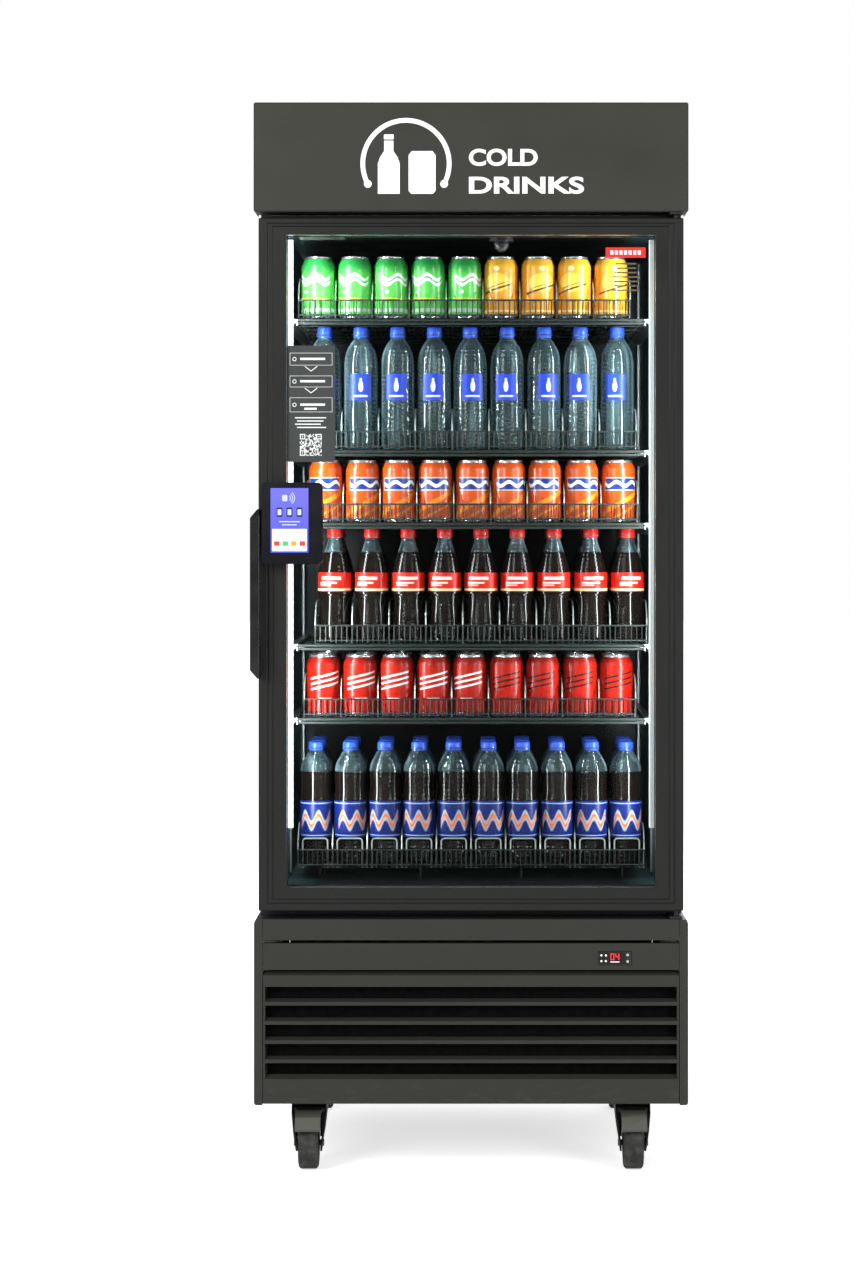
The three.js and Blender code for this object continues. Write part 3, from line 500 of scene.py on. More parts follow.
class Mesh:
    """Points, faces, a material number for each face and, for wrapped prints, u and v at each corner."""

    def __init__(self):
        self.points, self.faces, self.slots, self.uvs, self.tones = [], [], [], [], []

    def add(self, points, faces, slot=0, uvs=None, tone=0.0):
        start = len(self.points)
        self.points += [tuple(p) for p in points]
        self.faces += [tuple(start + i for i in face) for face in faces]
        self.slots += slot if isinstance(slot, list) else [slot] * len(faces)
        self.uvs += uvs or [[(0.0, 0.0)] * len(face) for face in faces]
        self.tones += [tone] * len(points)

    def block(self, low, high, slot=0):
        (x0, y0, z0), (x1, y1, z1) = low, high
        corners = [(x, y, z) for x in (x0, x1) for y in (y0, y1) for z in (z0, z1)]
        faces = [(0, 1, 3, 2), (4, 6, 7, 5), (0, 4, 5, 1), (2, 3, 7, 6), (0, 2, 6, 4), (1, 5, 7, 3)]
        self.add(corners, faces, slot)

    def plate(self, outline, front, back, slot=0):
        """Outline in x and z, counter-clockwise seen from the front, between two y planes."""
        count = len(outline)
        points = [(x, front, z) for x, z in outline] + [(x, back, z) for x, z in outline]
        faces = [tuple(range(count)), tuple(reversed(range(count, 2 * count)))]
        faces += [(i, i + count, (i + 1) % count + count, (i + 1) % count) for i in range(count)]
        self.add(points, faces, slot)

    def bar(self, x0, x1, z0, z1, front, back, slot=0):
        """Upright rectangle between two y planes."""
        self.plate([(x0, z0), (x1, z0), (x1, z1), (x0, z1)], front, back, slot)

    def tube(self, path, radius, sides=6, slot=0):
        path = [Vector(p) for p in path]
        last = len(path) - 1
        points, side = [], None
        for i, point in enumerate(path):
            along = (path[min(i + 1, last)] - path[max(i - 1, 0)]).normalized()
            if side is None:
                side = along.orthogonal().normalized()
            side = (side - side.dot(along) * along).normalized()
            other = along.cross(side)
            for k in range(sides):
                turn = 2 * math.pi * k / sides
                points.append(point + radius * (math.cos(turn) * side + math.sin(turn) * other))
        faces = []
        for ring in range(0, last * sides, sides):
            for k in range(sides):
                k2 = (k + 1) % sides
                faces.append((ring + k, ring + k2, ring + sides + k2, ring + sides + k))
        faces += [tuple(reversed(range(sides))), tuple(range(last * sides, (last + 1) * sides))]
        self.add(points, faces, slot)

    def lathe(self, profile, segments, centre, slots=None, turn=0.0, tone=0.0, ribs=0.0, ribbed=()):
        """Turns (radius, height) points about an upright axis; its first and last points lie on the axis.

        slots has a material number for each stretch of the profile, from its first point to its last.
        """
        cx, cy, cz = centre
        top = profile[-1][1]
        inner = profile[1:-1]
        points = [(cx, cy, cz + profile[0][1])]
        for row, (radius, height) in enumerate(inner):
            for k in range(segments):
                # The first point looks at +Y, which puts the middle of a print at the front.
                angle = 2 * math.pi * k / segments - math.pi / 2 - math.pi
                wide = radius + (ribs if k % 2 and row in ribbed else 0.0)
                points.append((cx + wide * math.cos(angle), cy + wide * math.sin(angle), cz + height))
        points.append((cx, cy, cz + top))
        last = len(points) - 1
        faces, uvs, numbers = [], [], []
        for k in range(segments):
            k2 = (k + 1) % segments
            faces.append((0, 1 + k2, 1 + k))
            uvs.append([(0.5, 0.0)] * 3)
            numbers.append(slots[0] if slots else 0)
        for row in range(len(inner) - 1):
            low, high = 1 + row * segments, 1 + (row + 1) * segments
            v0, v1 = inner[row][1] / top, inner[row + 1][1] / top
            for k in range(segments):
                k2 = (k + 1) % segments
                u0, u1 = k / segments + turn, (k + 1) / segments + turn
                faces.append((low + k, low + k2, high + k2, high + k))
                uvs.append([(u0, v0), (u1, v0), (u1, v1), (u0, v1)])
                numbers.append(slots[row + 1] if slots else 0)
        base = 1 + (len(inner) - 1) * segments
        for k in range(segments):
            faces.append((base + k, base + (k + 1) % segments, last))
            uvs.append([(0.5, 1.0)] * 3)
            numbers.append(slots[-1] if slots else 0)
        self.add(points, faces, numbers, uvs, tone)

    def build(self, name, materials, body, smooth=None, bevel=0.0, wrap=False):
        data = bpy.data.meshes.new(name)
        data.from_pydata(self.points, [], self.faces)
        for look in materials:
            data.materials.append(look)
        data.polygons.foreach_set("material_index", self.slots)
        if wrap:
            layer = data.uv_layers.new(name="wrap")
            layer.data.foreach_set("uv", [c for face in self.uvs for corner in face for c in corner])
            tones = data.attributes.new("tone", "FLOAT", "POINT")
            tones.data.foreach_set("value", self.tones)
        outward = bmesh.new()
        outward.from_mesh(data)
        bmesh.ops.recalc_face_normals(outward, faces=outward.faces)
        outward.to_mesh(data)
        outward.free()
        if smooth:
            data.shade_smooth()
            data.set_sharp_from_angle(angle=math.radians(smooth))
        made = put(name, data)
        if bevel:
            round_edges(made, bevel)
        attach(made, body)
        return made


def round_edges(obj, width):
    """Bevels the sharp edges and keeps the flat faces flat in the shading."""
    edge = obj.modifiers.new("edges", "BEVEL")
    edge.width, edge.segments = width, 2
    edge.limit_method, edge.angle_limit = "ANGLE", math.radians(40)
    even = obj.modifiers.new("even", "WEIGHTED_NORMAL")
    even.weight, even.keep_sharp = 100, True


def rounded(points, radius, steps=3):
    """The polyline with its inner corners turned into arcs."""
    points = [Vector(p) for p in points]
    made = [points[0]]
    for before, corner, after in zip(points, points[1:], points[2:]):
        into, out = (before - corner), (after - corner)
        cut = min(radius, into.length * 0.45, out.length * 0.45)
        start, end = corner + into.normalized() * cut, corner + out.normalized() * cut
        for k in range(steps + 1):
            t = k / steps
            made.append((1 - t) ** 2 * start + 2 * t * (1 - t) * corner + t * t * end)
    return made + [points[-1]]


def soft_rectangle(x0, x1, z0, z1, radius, steps=4):
    """Outline of a rectangle with round corners."""
    outline = []
    corners = [(x1 - radius, z0 + radius, -90), (x1 - radius, z1 - radius, 0),
               (x0 + radius, z1 - radius, 90), (x0 + radius, z0 + radius, 180)]
    for cx, cz, start in corners:
        for k in range(steps + 1):
            angle = math.radians(start + 90 * k / steps)
            outline.append((cx + radius * math.cos(angle), cz + radius * math.sin(angle)))
    return outline


def arc(cx, cz, inner, outer, start, end, steps):
    """Outline of a band round a centre, from start to end degrees."""
    angles = [math.radians(start + (end - start) * k / steps) for k in range(steps + 1)]
    outside = [(cx + outer * math.cos(a), cz + outer * math.sin(a)) for a in angles]
    return outside + [(cx + inner * math.cos(a), cz + inner * math.sin(a)) for a in reversed(angles)]


def disc(cx, cz, radius, steps):
    return arc(cx, cz, 0.0, radius, 0, 360, steps)[:steps]


# ---- CAD nodes that keep their shape ------------------------------------------------------

# The door's colour is the cabinet's charcoal paint darkened by about half: painted shade.
PAINT, DOOR_SHADED_PAINT, BASE_PAINT = rgb(51, 51, 46), rgb(28, 28, 27), rgb(46, 47, 42)
# Strength of each light strip's glow, and the share of it that is left low down.
STRIP_GLOW = {"left": (2.2, 0.9), "right": (0.3, 0.4)}
CORNERS = [f"{end}_{side}" for end in ("front", "rear") for side in ("left", "right")]


def dress(names, look, bevel=0.0):
    """Gives the CAD nodes of these names their material and, if asked, rounded edges."""
    for name in names.split():
        obj = nodes[name]
        for place in obj.material_slots:
            place.material = look
        if bevel:
            weld = obj.modifiers.new("weld", "WELD")
            weld.merge_threshold = 0.00001
            round_edges(obj, bevel)


def dress_frame():
    """Materials of the CAD nodes that stay."""
    paint = painted("charcoal_paint", PAINT)
    base_paint = painted("charcoal_paint_base", BASE_PAINT, scuffs=(0.14, 0.2))
    black = moulded("black_plastic", rgb(26, 27, 28))
    steel = painted("black_steel", rgb(34, 35, 35), 0.4)
    zinc = metal("bright_bracket", rgb(176, 182, 184))
    # The side walls' teal is painted light from the light strips, on the same dark lining as the back.
    dark = lining("dark_lining", rgb(6, 8, 9), rgb(50, 76, 81))
    dress("cabinet_wrapper header_panel", paint, 0.0008)
    # The door frame has the same paint as the cabinet, made darker here as painted shade.
    dress("door_frame", painted("charcoal_paint_door_shaded", DOOR_SHADED_PAINT), 0.0007)
    dress("base_chassis control_fascia grille_panel", base_paint, 0.0005)
    dress("rear_panel", spangled("galvanised"))
    dress("cabinet_foam", foamed("insulation"))
    dress("cabinet_liner", dark)
    dress("evaporator_cover", lining("duct_cover_lining", rgb(3, 4, 4)), 0.0005)
    dress("face_frame", black)
    dress("control_computer rear_grille compressor condenser_fan_shroud", steel, 0.0005)
    dress("condenser_coil", finned("black_fins", rgb(40, 41, 41), 0.3))
    dress("evaporator_coil", finned("bright_fins", rgb(190, 194, 196), 0.8))
    dress("condenser_fan_blade", metal("aluminium_blade", rgb(176, 178, 180)), 0.0004)
    dress("controller_housing drip_tray power_inlet evaporator_fan_blade ceiling_camera", black, 0.0004)
    dress("side_frame_left side_frame_right", zinc, 0.0004)
    dress("lock_magnet lock_armature hinge_bracket_top hinge_bracket_bottom", steel, 0.0004)
    button = moulded("button_plastic", rgb(188, 196, 192), 0.4)
    dress("controller_button_up controller_button_down", button, 0.0003)
    for side in ("left", "right"):
        dress("led_strip_" + side, diffuser("light_diffuser_" + side, *STRIP_GLOW[side]))
    tint = (0.97, 0.98, 0.975, 1.0)
    dress("door_glass_outer", pane_glass("clear_glass", tint, 0.6))
    dress("door_glass_inner", pane_glass("inner_glass", tint, 0.3))
    dress("door_gasket", rubber("gasket_rubber", rgb(22, 22, 22)), 0.0015)
    dress("door_handle", moulded("handle_plastic", rgb(11, 11, 12), 0.25), 0.0022)
    dress("terminal_housing", glossy("terminal_gloss", rgb(7, 8, 18), 0.26))
    low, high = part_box("terminal_screen")
    dress("terminal_screen", screen("screen_glass", low.z, high.z))
    fork = painted("caster_steel", rgb(17, 18, 17), 0.4)
    tyre = rubber("wheel_tread", rgb(34, 34, 33), 0.22)
    for corner in CORNERS:
        dress("caster_fork_" + corner, fork, 0.0012)
        dress("caster_wheel_" + corner, tyre, 0.0012)
    dress("brake_pedal_left brake_pedal_right", painted("pedal_steel", rgb(84, 85, 79), 0.5), 0.0015)


# ---- wire shelves and racks ---------------------------------------------------------------

LANES, FLOOR_LANES = 9, 10
DIVIDER_HEIGHT = 0.085
RACK_MARGIN = 0.0015  # from the end of a rack to the middle of its outer divider
DRINK_LIFT = 0.0027  # from the underside of a rack to the foot of a drink


def wire_shelf(index, dark, pale):
    """Welded shelf: front and rear rails, cross bars, lengthwise wires and a gusset at each end."""
    low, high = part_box(f"shelf_{index}")
    mesh = Mesh()
    rail, wire = 0.0028, 0.0014
    x0, x1, y0, y1, top = low.x + rail, high.x - rail, low.y + rail, high.y - rail, high.z
    lip = top - 0.0092
    for y, z in ((y0, top - rail), (y0, lip), (y1, top - 0.006), (y1, low.z + rail)):
        mesh.tube([(x0, y, z), (x1, y, z)], rail, 8)
    for x in (x0, x1):
        mesh.tube([(x, y0, top - 0.005), (x, y1, top - 0.006)], 0.0025, 8)
    for k in range(1, 5):
        y = y0 + (y1 - y0) * k / 5
        mesh.tube([(x0, y, top - 0.0068), (x1, y, top - 0.0068)], 0.0023)
    count = 27
    for k in range(1, count):
        x = x0 + (x1 - x0) * k / count
        path = [(x, y0 + 0.001, lip), (x, y0 + 0.0045, top - 0.003), (x, y1, top - 0.003)]
        mesh.tube(rounded(path, 0.004), wire)
    gusset = [(0.0, 0.0), (0.0, -0.0135), (0.016, -0.002), (0.016, 0.0)]
    for side, x in ((1, low.x), (-1, high.x)):
        outline = [(x + side * a, top - 0.0004 + b) for a, b in gusset]
        mesh.plate(outline if side > 0 else outline[::-1], low.y + 0.0058, low.y + 0.0074, 1)
    made = mesh.build(f"wire_shelf_{index}", [dark, pale], "cabinet", smooth=40)
    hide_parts(f"shelf_{index}")


def lane_rack(name, node, lanes, dark, pale, hoops=False):
    """Lane rack: floor wires that bend up into the front fence, rails, and a wire loop between lanes.

    The floor rack also has hoops at the front of its lanes and stands on bent feet.
    """
    low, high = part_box(node)
    mesh = Mesh()
    wire, rail = 0.00125, 0.0016
    floor = high.z - DIVIDER_HEIGHT + wire
    x0, x1, front, back = low.x + RACK_MARGIN, high.x - RACK_MARGIN, low.y + rail, high.y - rail
    pitch = (x1 - x0) / lanes
    fence = floor + 0.0355
    for lane in range(lanes):
        middle = x0 + (lane + 0.5) * pitch
        for k in range(6):
            x = middle + (k - 2.5) * pitch * 0.145
            path = [(x, front, fence), (x, front, floor + 0.0005), (x, back, floor + 0.0005)]
            mesh.tube(rounded(path, 0.007), wire)
    mesh.tube([(x0, front, fence), (x1, front, fence)], rail, 8)
    mesh.tube([(x0, front + 0.001, floor + 0.006), (x1, front + 0.001, floor + 0.006)], rail, 6)
    for k in range(6):
        y = front + 0.012 + (back - front - 0.014) * k / 5
        mesh.tube([(x0, y, floor - 0.0003), (x1, y, floor - 0.0003)], 0.0011)
    top = floor + DIVIDER_HEIGHT - 2 * wire
    for line in range(lanes + 1):
        x = x0 + line * pitch
        lean = 0.0012 if line == lanes else 0.0
        path = [(x - lean, front + 0.0022, floor), (x, front + 0.005, fence + 0.012),
                (x, front + 0.024, top - 0.012), (x, front + 0.046, top), (x, back - 0.025, top),
                (x, back, top - 0.025), (x, back, floor)]
        mesh.tube(rounded(path, 0.02), 0.0014, 6, slot=1)
        mesh.tube([(x, front, fence), (x, front, floor)], wire)
        for drop in (0.03, 0.056):
            mesh.tube([(x, front + 0.004, top - drop), (x, back, top - drop)], 0.0009, 5)
    if hoops:
        for lane in range(lanes):
            middle = x0 + (lane + 0.5) * pitch
            half, y, crown = pitch * 0.36, front + 0.003, floor + 0.058
            path = [(middle - half, y, floor), (middle - half, y, crown), (middle + half, y, crown),
                    (middle + half, y, floor)]
            mesh.tube(rounded(path, 0.007), 0.0015, 6, slot=1)
        for x in (-0.3, -0.1, 0.1, 0.3):
            near, far, foot = front + 0.012, back - 0.01, low.z + wire
            path = [(x, near, floor), (x, near, foot), (x, far, foot), (x, far, floor)]
            mesh.tube(rounded(path, 0.006), 0.002)
    made = mesh.build(name, [dark, pale], "cabinet", smooth=50)
    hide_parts(node)


def shelves_and_racks():
    """Five shelves with a rack on each, and the floor rack."""
    dark = coated_wire("coated_wire", rgb(28, 37, 35), 0.45)
    pale = coated_wire("pale_wire", rgb(176, 186, 182), 0.3, 0.5)
    for index in range(1, 6):
        wire_shelf(index, dark, pale)
        lane_rack(f"lane_rack_wires_{index}", f"lane_rack_{index}", LANES, dark, pale)
    lane_rack("floor_rack_wires", "floor_rack", FLOOR_LANES, dark, pale, hoops=True)


# ---- drinks -------------------------------------------------------------------------------

# Profiles from the foot to the lid or cap, as (radius, height) in millimetres.
CAN = [(0, 4), (22, 3), (25, 0.6), (27.4, 0), (29.6, 2.2), (32.2, 7), (33, 12), (33, 55), (33, 101),
       (32.2, 106), (29.9, 112), (27.4, 116.6), (26.8, 119.4), (27.5, 121), (26.6, 122), (25.7, 121.2),
       (25.2, 117.2), (23.8, 116.4), (0, 116.4)]
CAN_SLOTS = [0, 0, 0, 0, 0, 1, 1, 1, 1, 1, 1, 0, 0, 0, 0, 0, 0, 0]
WATER = [(0, 5), (14, 4), (22, 0.5), (26, 0), (30.5, 2.5), (33, 9), (33, 60), (33, 120), (33, 165),
         (32.2, 178), (29.6, 192), (25, 203), (18.4, 213), (14, 219), (12.8, 222), (12.6, 226),
         (16.4, 227), (16.4, 228.4), (12.6, 229), (0, 229)]
WAISTED = [(0, 5), (12, 4), (20, 0.5), (25, 0), (29, 3), (31.2, 10), (31.6, 30), (30.8, 52), (28.6, 70),
           (28.4, 82), (31, 94), (33, 97), (33, 136), (32, 139), (30.6, 147), (26, 164), (19.6, 182),
           (14.6, 196), (12.8, 204), (12.4, 210), (16, 211.4), (16, 212.8), (12.4, 213.4), (0, 213.4)]
TALL = [(0, 5), (12, 4), (20, 0.5), (26, 0), (29.6, 3), (31.4, 10), (30.6, 28), (29.4, 44), (30, 58),
        (31.6, 64), (32, 70), (32, 140), (31.4, 143), (30.6, 152), (31.6, 176), (31.4, 192), (28.6, 203),
        (22.6, 214), (16, 224), (13.2, 229), (12.6, 232), (16.4, 233.4), (16.4, 234.8), (12.6, 235.4),
        (0, 235.4)]
LID_HEIGHT = 0.1166


def metres(profile):
    return [(r * MM, h * MM) for r, h in profile]


def can_tab(mesh, x, y, z):
    """Lid tab and its rivet."""
    sides = 10
    angles = [2 * math.pi * k / sides for k in range(sides)]
    ring = [(0.0075 * math.cos(a), 0.011 * math.sin(a) - 0.004) for a in angles]
    points = [(x + a, y + b, z + h) for h in (0.0, 0.0011) for a, b in ring]
    faces = [tuple(range(sides, 2 * sides))]
    faces += [(k, (k + 1) % sides, (k + 1) % sides + sides, k + sides) for k in range(sides)]
    faces.append(tuple(reversed(range(sides))))
    mesh.add(points, faces)


def cap(mesh, x, y, z, radius, height):
    """Screw cap with ribs, a rounded top and a tamper ring. Radius and height are in millimetres."""
    tamper_ring = [(0, -4.4), (radius * 0.96, -4.4), (radius, -3.8), (radius, -1.4), (radius * 0.97, -1.0),
                   (0, -1.0)]
    shell = [(0, -0.6), (radius, -0.6), (radius, 1), (radius * 0.985, height - 2),
             (radius * 0.9, height - 0.3), (radius * 0.8, height), (0, height)]
    mesh.lathe(metres(tamper_ring), 36, (x, y, z), [1] * 6)
    mesh.lathe(metres(shell), 44, (x, y, z), [1] * 7, ribs=0.0004, ribbed=(1, 2))


def stand(lanes, node, depth, gap, place):
    """Calls place(lane, x, y, z) for each drink in a rack, from the front to the back of each lane."""
    low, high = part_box(node)
    pitch = (high.x - low.x - 2 * RACK_MARGIN) / lanes
    floor = high.z - DIVIDER_HEIGHT + DRINK_LIFT
    for lane in range(lanes):
        x = low.x + RACK_MARGIN + (lane + 0.5) * pitch
        for row in range(depth):
            y = low.y + 0.0045 + gap * (row + 0.5) + rng.uniform(0.0, 0.001)
            place(lane, x + rng.uniform(-0.0009, 0.0009), y, floor)


def cans(name, node, looks, lane_prints):
    """Cans three deep; looks are the lid metal and the prints, and lane_prints picks one for each lane."""
    mesh = Mesh()
    profile = metres(CAN)

    def place(lane, x, y, z):
        slots = [lane_prints[lane] if s else 0 for s in CAN_SLOTS]
        mesh.lathe(profile, 32, (x, y, z), slots, rng.uniform(-0.05, 0.05), rng.uniform(0.0, 1.0))
        can_tab(mesh, x, y, z + LID_HEIGHT)

    stand(LANES, node, 3, 0.0668, place)
    mesh.build(name, looks, "cabinet", smooth=38, wrap=True)


def bottles(name, node, lanes, depth, profile, looks, cap_size, neck, radius):
    """Bottles of one kind; looks are the bottle's and its cap's, and neck is the height of the cap's foot."""
    mesh = Mesh()
    shape = metres(profile)

    def place(_lane, x, y, z):
        turn = rng.uniform(-0.04, 0.04)
        mesh.lathe(shape, 32, (x, y, z), [0] * len(profile), turn, rng.uniform(0.0, 1.0))
        cap(mesh, x, y, z + neck * MM + 0.0046, *cap_size)

    stand(lanes, node, depth, 2 * radius * MM + 0.0008, place)
    mesh.build(name, looks, "cabinet", smooth=45, wrap=True)


def drinks():
    """Three rows of cans and three of bottles."""
    lid = metal("can_lid_metal", rgb(196, 200, 202), 0.24, (1.0, 1.0, 1.0))
    cola = rgb(15, 9, 7)
    blue_cap = moulded("cap_blue", rgb(44, 84, 206), 0.3, Subsurface_Weight=0.05)
    red_cap = moulded("cap_red", rgb(188, 18, 8), 0.3, Subsurface_Weight=0.05)
    clear = (0.8, 0.88, 0.88, 1.0)
    cans("drinks_row_1", "lane_rack_1", [lid, green_can(), amber_can()], [1] * 5 + [2] * 4)
    water = bottle("water_bottle", rgb(30, 60, 182), water_label, None, clear, 0.07)
    bottles("drinks_row_2", "lane_rack_2", LANES, 2, WATER, [water, blue_cap], (14.2, 16), 222, 33)
    cans("drinks_row_3", "lane_rack_3", [lid, orange_can()], [1] * LANES)
    waisted = bottle("waisted_bottle", cola, red_label, 0.84, clear, 0.04)
    bottles("drinks_row_4", "lane_rack_4", LANES, 3, WAISTED, [waisted, red_cap], (14.6, 16), 207, 33)
    reds = [red_can("can_red", WHITE), red_can("can_red_dark", BLACK)]
    cans("drinks_row_5", "lane_rack_5", [lid] + reds, [1] * 5 + [2] * 4)
    tall = bottle("tall_bottle", cola, blue_label, 0.8, clear, 0.06)
    bottles("drinks_row_6", "floor_rack", FLOOR_LANES, 3, TALL, [tall, blue_cap], (14.8, 12.5), 229, 32)


# ---- sign ---------------------------------------------------------------------------------


def words(name, text, x0, x1, z0, z1, front, look):
    """Plain capitals fitted to a box in x and z, raised by thick."""
    thick, weight = 0.0007, 0.03
    curve = bpy.data.curves.new(name, "FONT")
    curve.body, curve.extrude, curve.offset = text, 0.5, weight
    draft = put(name + "_draft", curve)
    bpy.context.view_layer.update()
    data = bpy.data.meshes.new_from_object(draft.evaluated_get(bpy.context.evaluated_depsgraph_get()))
    bpy.data.objects.remove(draft)
    xs, ys = [v.co.x for v in data.vertices], [v.co.y for v in data.vertices]
    for v in data.vertices:
        share = (v.co.x - min(xs)) / (max(xs) - min(xs)), (v.co.y - min(ys)) / (max(ys) - min(ys))
        depth = front if v.co.z > 0 else front + thick
        v.co = (x0 + share[0] * (x1 - x0), depth, z0 + share[1] * (z1 - z0))
    data.materials.clear()
    data.materials.append(look)
    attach(put(name, data), "cabinet")


def sign():
    """White ring with a can and a bottle in it, and two plain words beside it."""
    low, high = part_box("header_panel")
    # The white print glows at 0.12: painted light, as the sign has no lamp.
    white = ink("sign_white", rgb(244, 245, 242), 0.12, 0.5)
    front, back = low.y - 0.0006, low.y + 0.0001
    cx, cz = -0.125, low.z + 0.092
    mesh = Mesh()
    mesh.plate(arc(cx, cz, 0.0785, 0.0875, -28, 208, 64), front, back)
    for angle in (-28, 208):
        x, z = cx + 0.083 * math.cos(math.radians(angle)), cz + 0.083 * math.sin(math.radians(angle))
        mesh.plate(disc(x, z, 0.0075, 24), front - 0.0001, back)
    bottle_shape = [(-0.021, -0.058), (0.021, -0.058), (0.021, 0.0), (0.017, 0.012), (0.009, 0.024),
                    (0.009, 0.044), (-0.009, 0.044), (-0.009, 0.024), (-0.017, 0.012), (-0.021, 0.0)]
    mesh.plate([(cx - 0.033 + a, cz + b) for a, b in bottle_shape], front, back)
    mesh.plate(soft_rectangle(cx - 0.0425, cx - 0.0235, cz + 0.0465, cz + 0.056, 0.002), front, back)
    can_shape = [(-0.021, -0.058), (0.021, -0.058), (0.026, -0.052), (0.026, 0.016), (0.02, 0.024),
                 (-0.02, 0.024), (-0.026, 0.016), (-0.026, -0.052)]
    mesh.plate([(cx + 0.031 + a, cz + b) for a, b in can_shape], front, back)
    mesh.build("sign_pictogram", [white], "cabinet")
    words("sign_word_top", "COLD", -0.004, 0.128, low.z + 0.0875, low.z + 0.1205, front, white)
    words("sign_word_low", "DRINKS", -0.004, 0.217, low.z + 0.034, low.z + 0.067, front, white)


# ---- glass fittings and prints --------------------------------------------------------------


def glass_spacer():
    """Aluminium spacer bar between the two panes, with its dark seal."""
    outer_low, outer_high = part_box("door_glass_outer")
    inner_low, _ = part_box("door_glass_inner")
    mesh = Mesh()
    y0, y1 = outer_high.y + 0.0002, inner_low.y - 0.0002
    gap = 0.0001
    for inset, width, slot in ((0.0006, 0.003, 1), (0.0038, 0.0055, 0)):
        x0, x1 = outer_low.x + inset, outer_high.x - inset
        z0, z1 = outer_low.z + inset, outer_high.z - inset
        mesh.block((x0, y0, z0), (x0 + width, y1, z1), slot)
        mesh.block((x1 - width, y0, z0), (x1, y1, z1), slot)
        for z in (z0, z1 - width):
            mesh.block((x0 + width + gap, y0, z), (x1 - width - gap, y1, z + width), slot)
    looks = [metal("spacer_aluminium", rgb(150, 153, 154)), rubber("spacer_seal", rgb(24, 24, 24))]
    mesh.build("pane_spacer", looks, "door", bevel=0.0003)


def placard():
    """Three outlined steps with chevrons between them, small print as bars and a field of dots."""
    low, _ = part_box("door_glass_outer")
    sheet = ink("placard_film", rgb(50, 53, 53), 0.0, 0.45)
    # The white marks glow at 0.1: painted light on a printed sheet.
    mark = ink("placard_white", rgb(226, 230, 228), 0.1)
    mesh = Mesh()
    x0, z0 = low.x + 0.0099, low.z + 0.8287
    x1, z1 = x0 + 0.0928, z0 + 0.224
    back, front = low.y - 0.0002, low.y - 0.0005
    raised = front - 0.0002
    line = 0.0007
    mesh.plate(soft_rectangle(x0, x1, z0, z1, 0.004), front, back, 0)

    def bar(a, b, z, tall):
        mesh.bar(a, b, z, z + tall, raised, front, 1)

    left, right = x0 + 0.006, x1 - 0.005
    for top, tall in ((z1 - 0.014, 0.024), (z1 - 0.058, 0.022), (z1 - 0.1, 0.028)):
        for z in (top - line, top - tall):
            bar(left, right, z, line)
        for x in (left, right - line):
            bar(x, x + line, top - tall + line, tall - 2 * line)
        mesh.plate(arc(left + 0.009, top - tall / 2, 0.0026, 0.004, 0, 350, 16), raised, front, 1)
        bar(left + 0.02, right - 0.014, top - tall / 2 - 0.0018, 0.0044)
        if tall > 0.026:
            bar(left + 0.028, right - 0.03, top - tall / 2 - 0.0095, 0.004)
    for z in (z1 - 0.044, z1 - 0.086):
        middle = (left + right) / 2
        tick = [(-0.012, 0.005), (0, -0.004), (0.012, 0.005), (0.012, 0.0032), (0, -0.006), (-0.012, 0.0032)]
        mesh.plate([(middle + a, z + b) for a, b in reversed(tick)], raised, front, 1)
    for row in range(4):
        z = z1 - 0.14 - row * 0.0062
        bar(left + 0.01 + 0.004 * (row % 2), right - 0.012 - 0.005 * (row % 3), z, 0.0022)
    # A square of random dots with plain marks in three corners: it stands for a code and reads as nothing.
    cell = 0.0021
    start_x, start_z = (x0 + x1) / 2 - 10 * cell, z0 + 0.012
    for i in range(20):
        for k in range(20):
            corner = (i < 5 or i > 14) and (k < 5 or k > 14) and not (i > 14 and k < 5)
            ring = corner and (i % 15 in (0, 4) or k % 15 in (0, 4) or (i % 15 == 2 and k % 15 == 2))
            if ring or (not corner and rng.random() < 0.48):
                x, z = start_x + i * cell, start_z + k * cell
                bar(x, x + cell * 0.96, z, cell * 0.96)
    mesh.build("instruction_placard", [sheet, mark], "door")


def small_label():
    """Plain red strip with faint lines of small print below it."""
    low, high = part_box("door_glass_outer")
    # The red and white print glow at 0.15 and 0.1: painted light on a printed label.
    red = ink("label_red", rgb(206, 30, 34), 0.15)
    white = ink("label_white", rgb(240, 240, 238), 0.1)
    faint = ink("label_faint", rgb(96, 88, 70), 0.0)
    back, front = low.y - 0.0002, low.y - 0.0005
    raised = front - 0.0002
    mesh = Mesh()
    left, right, top = high.x - 0.1057, high.x - 0.0287, high.z - 0.0337
    middle = left + 0.039
    mesh.bar(left, right, top - 0.02, top, front, back)
    for k in range(7):
        x = left + 0.009 + k * 0.0088
        mesh.bar(x, x + 0.0058, top - 0.014, top - 0.006, raised, front, 1)
    for row in range(7):
        half = 0.02 if row < 2 else 0.027 - 0.003 * (row % 3)
        z = top - 0.033 - row * 0.0085
        mesh.bar(middle - half, middle + half, z, z + 0.003, front, back, 2)
    mesh.build("small_label", [red, white, faint], "door")


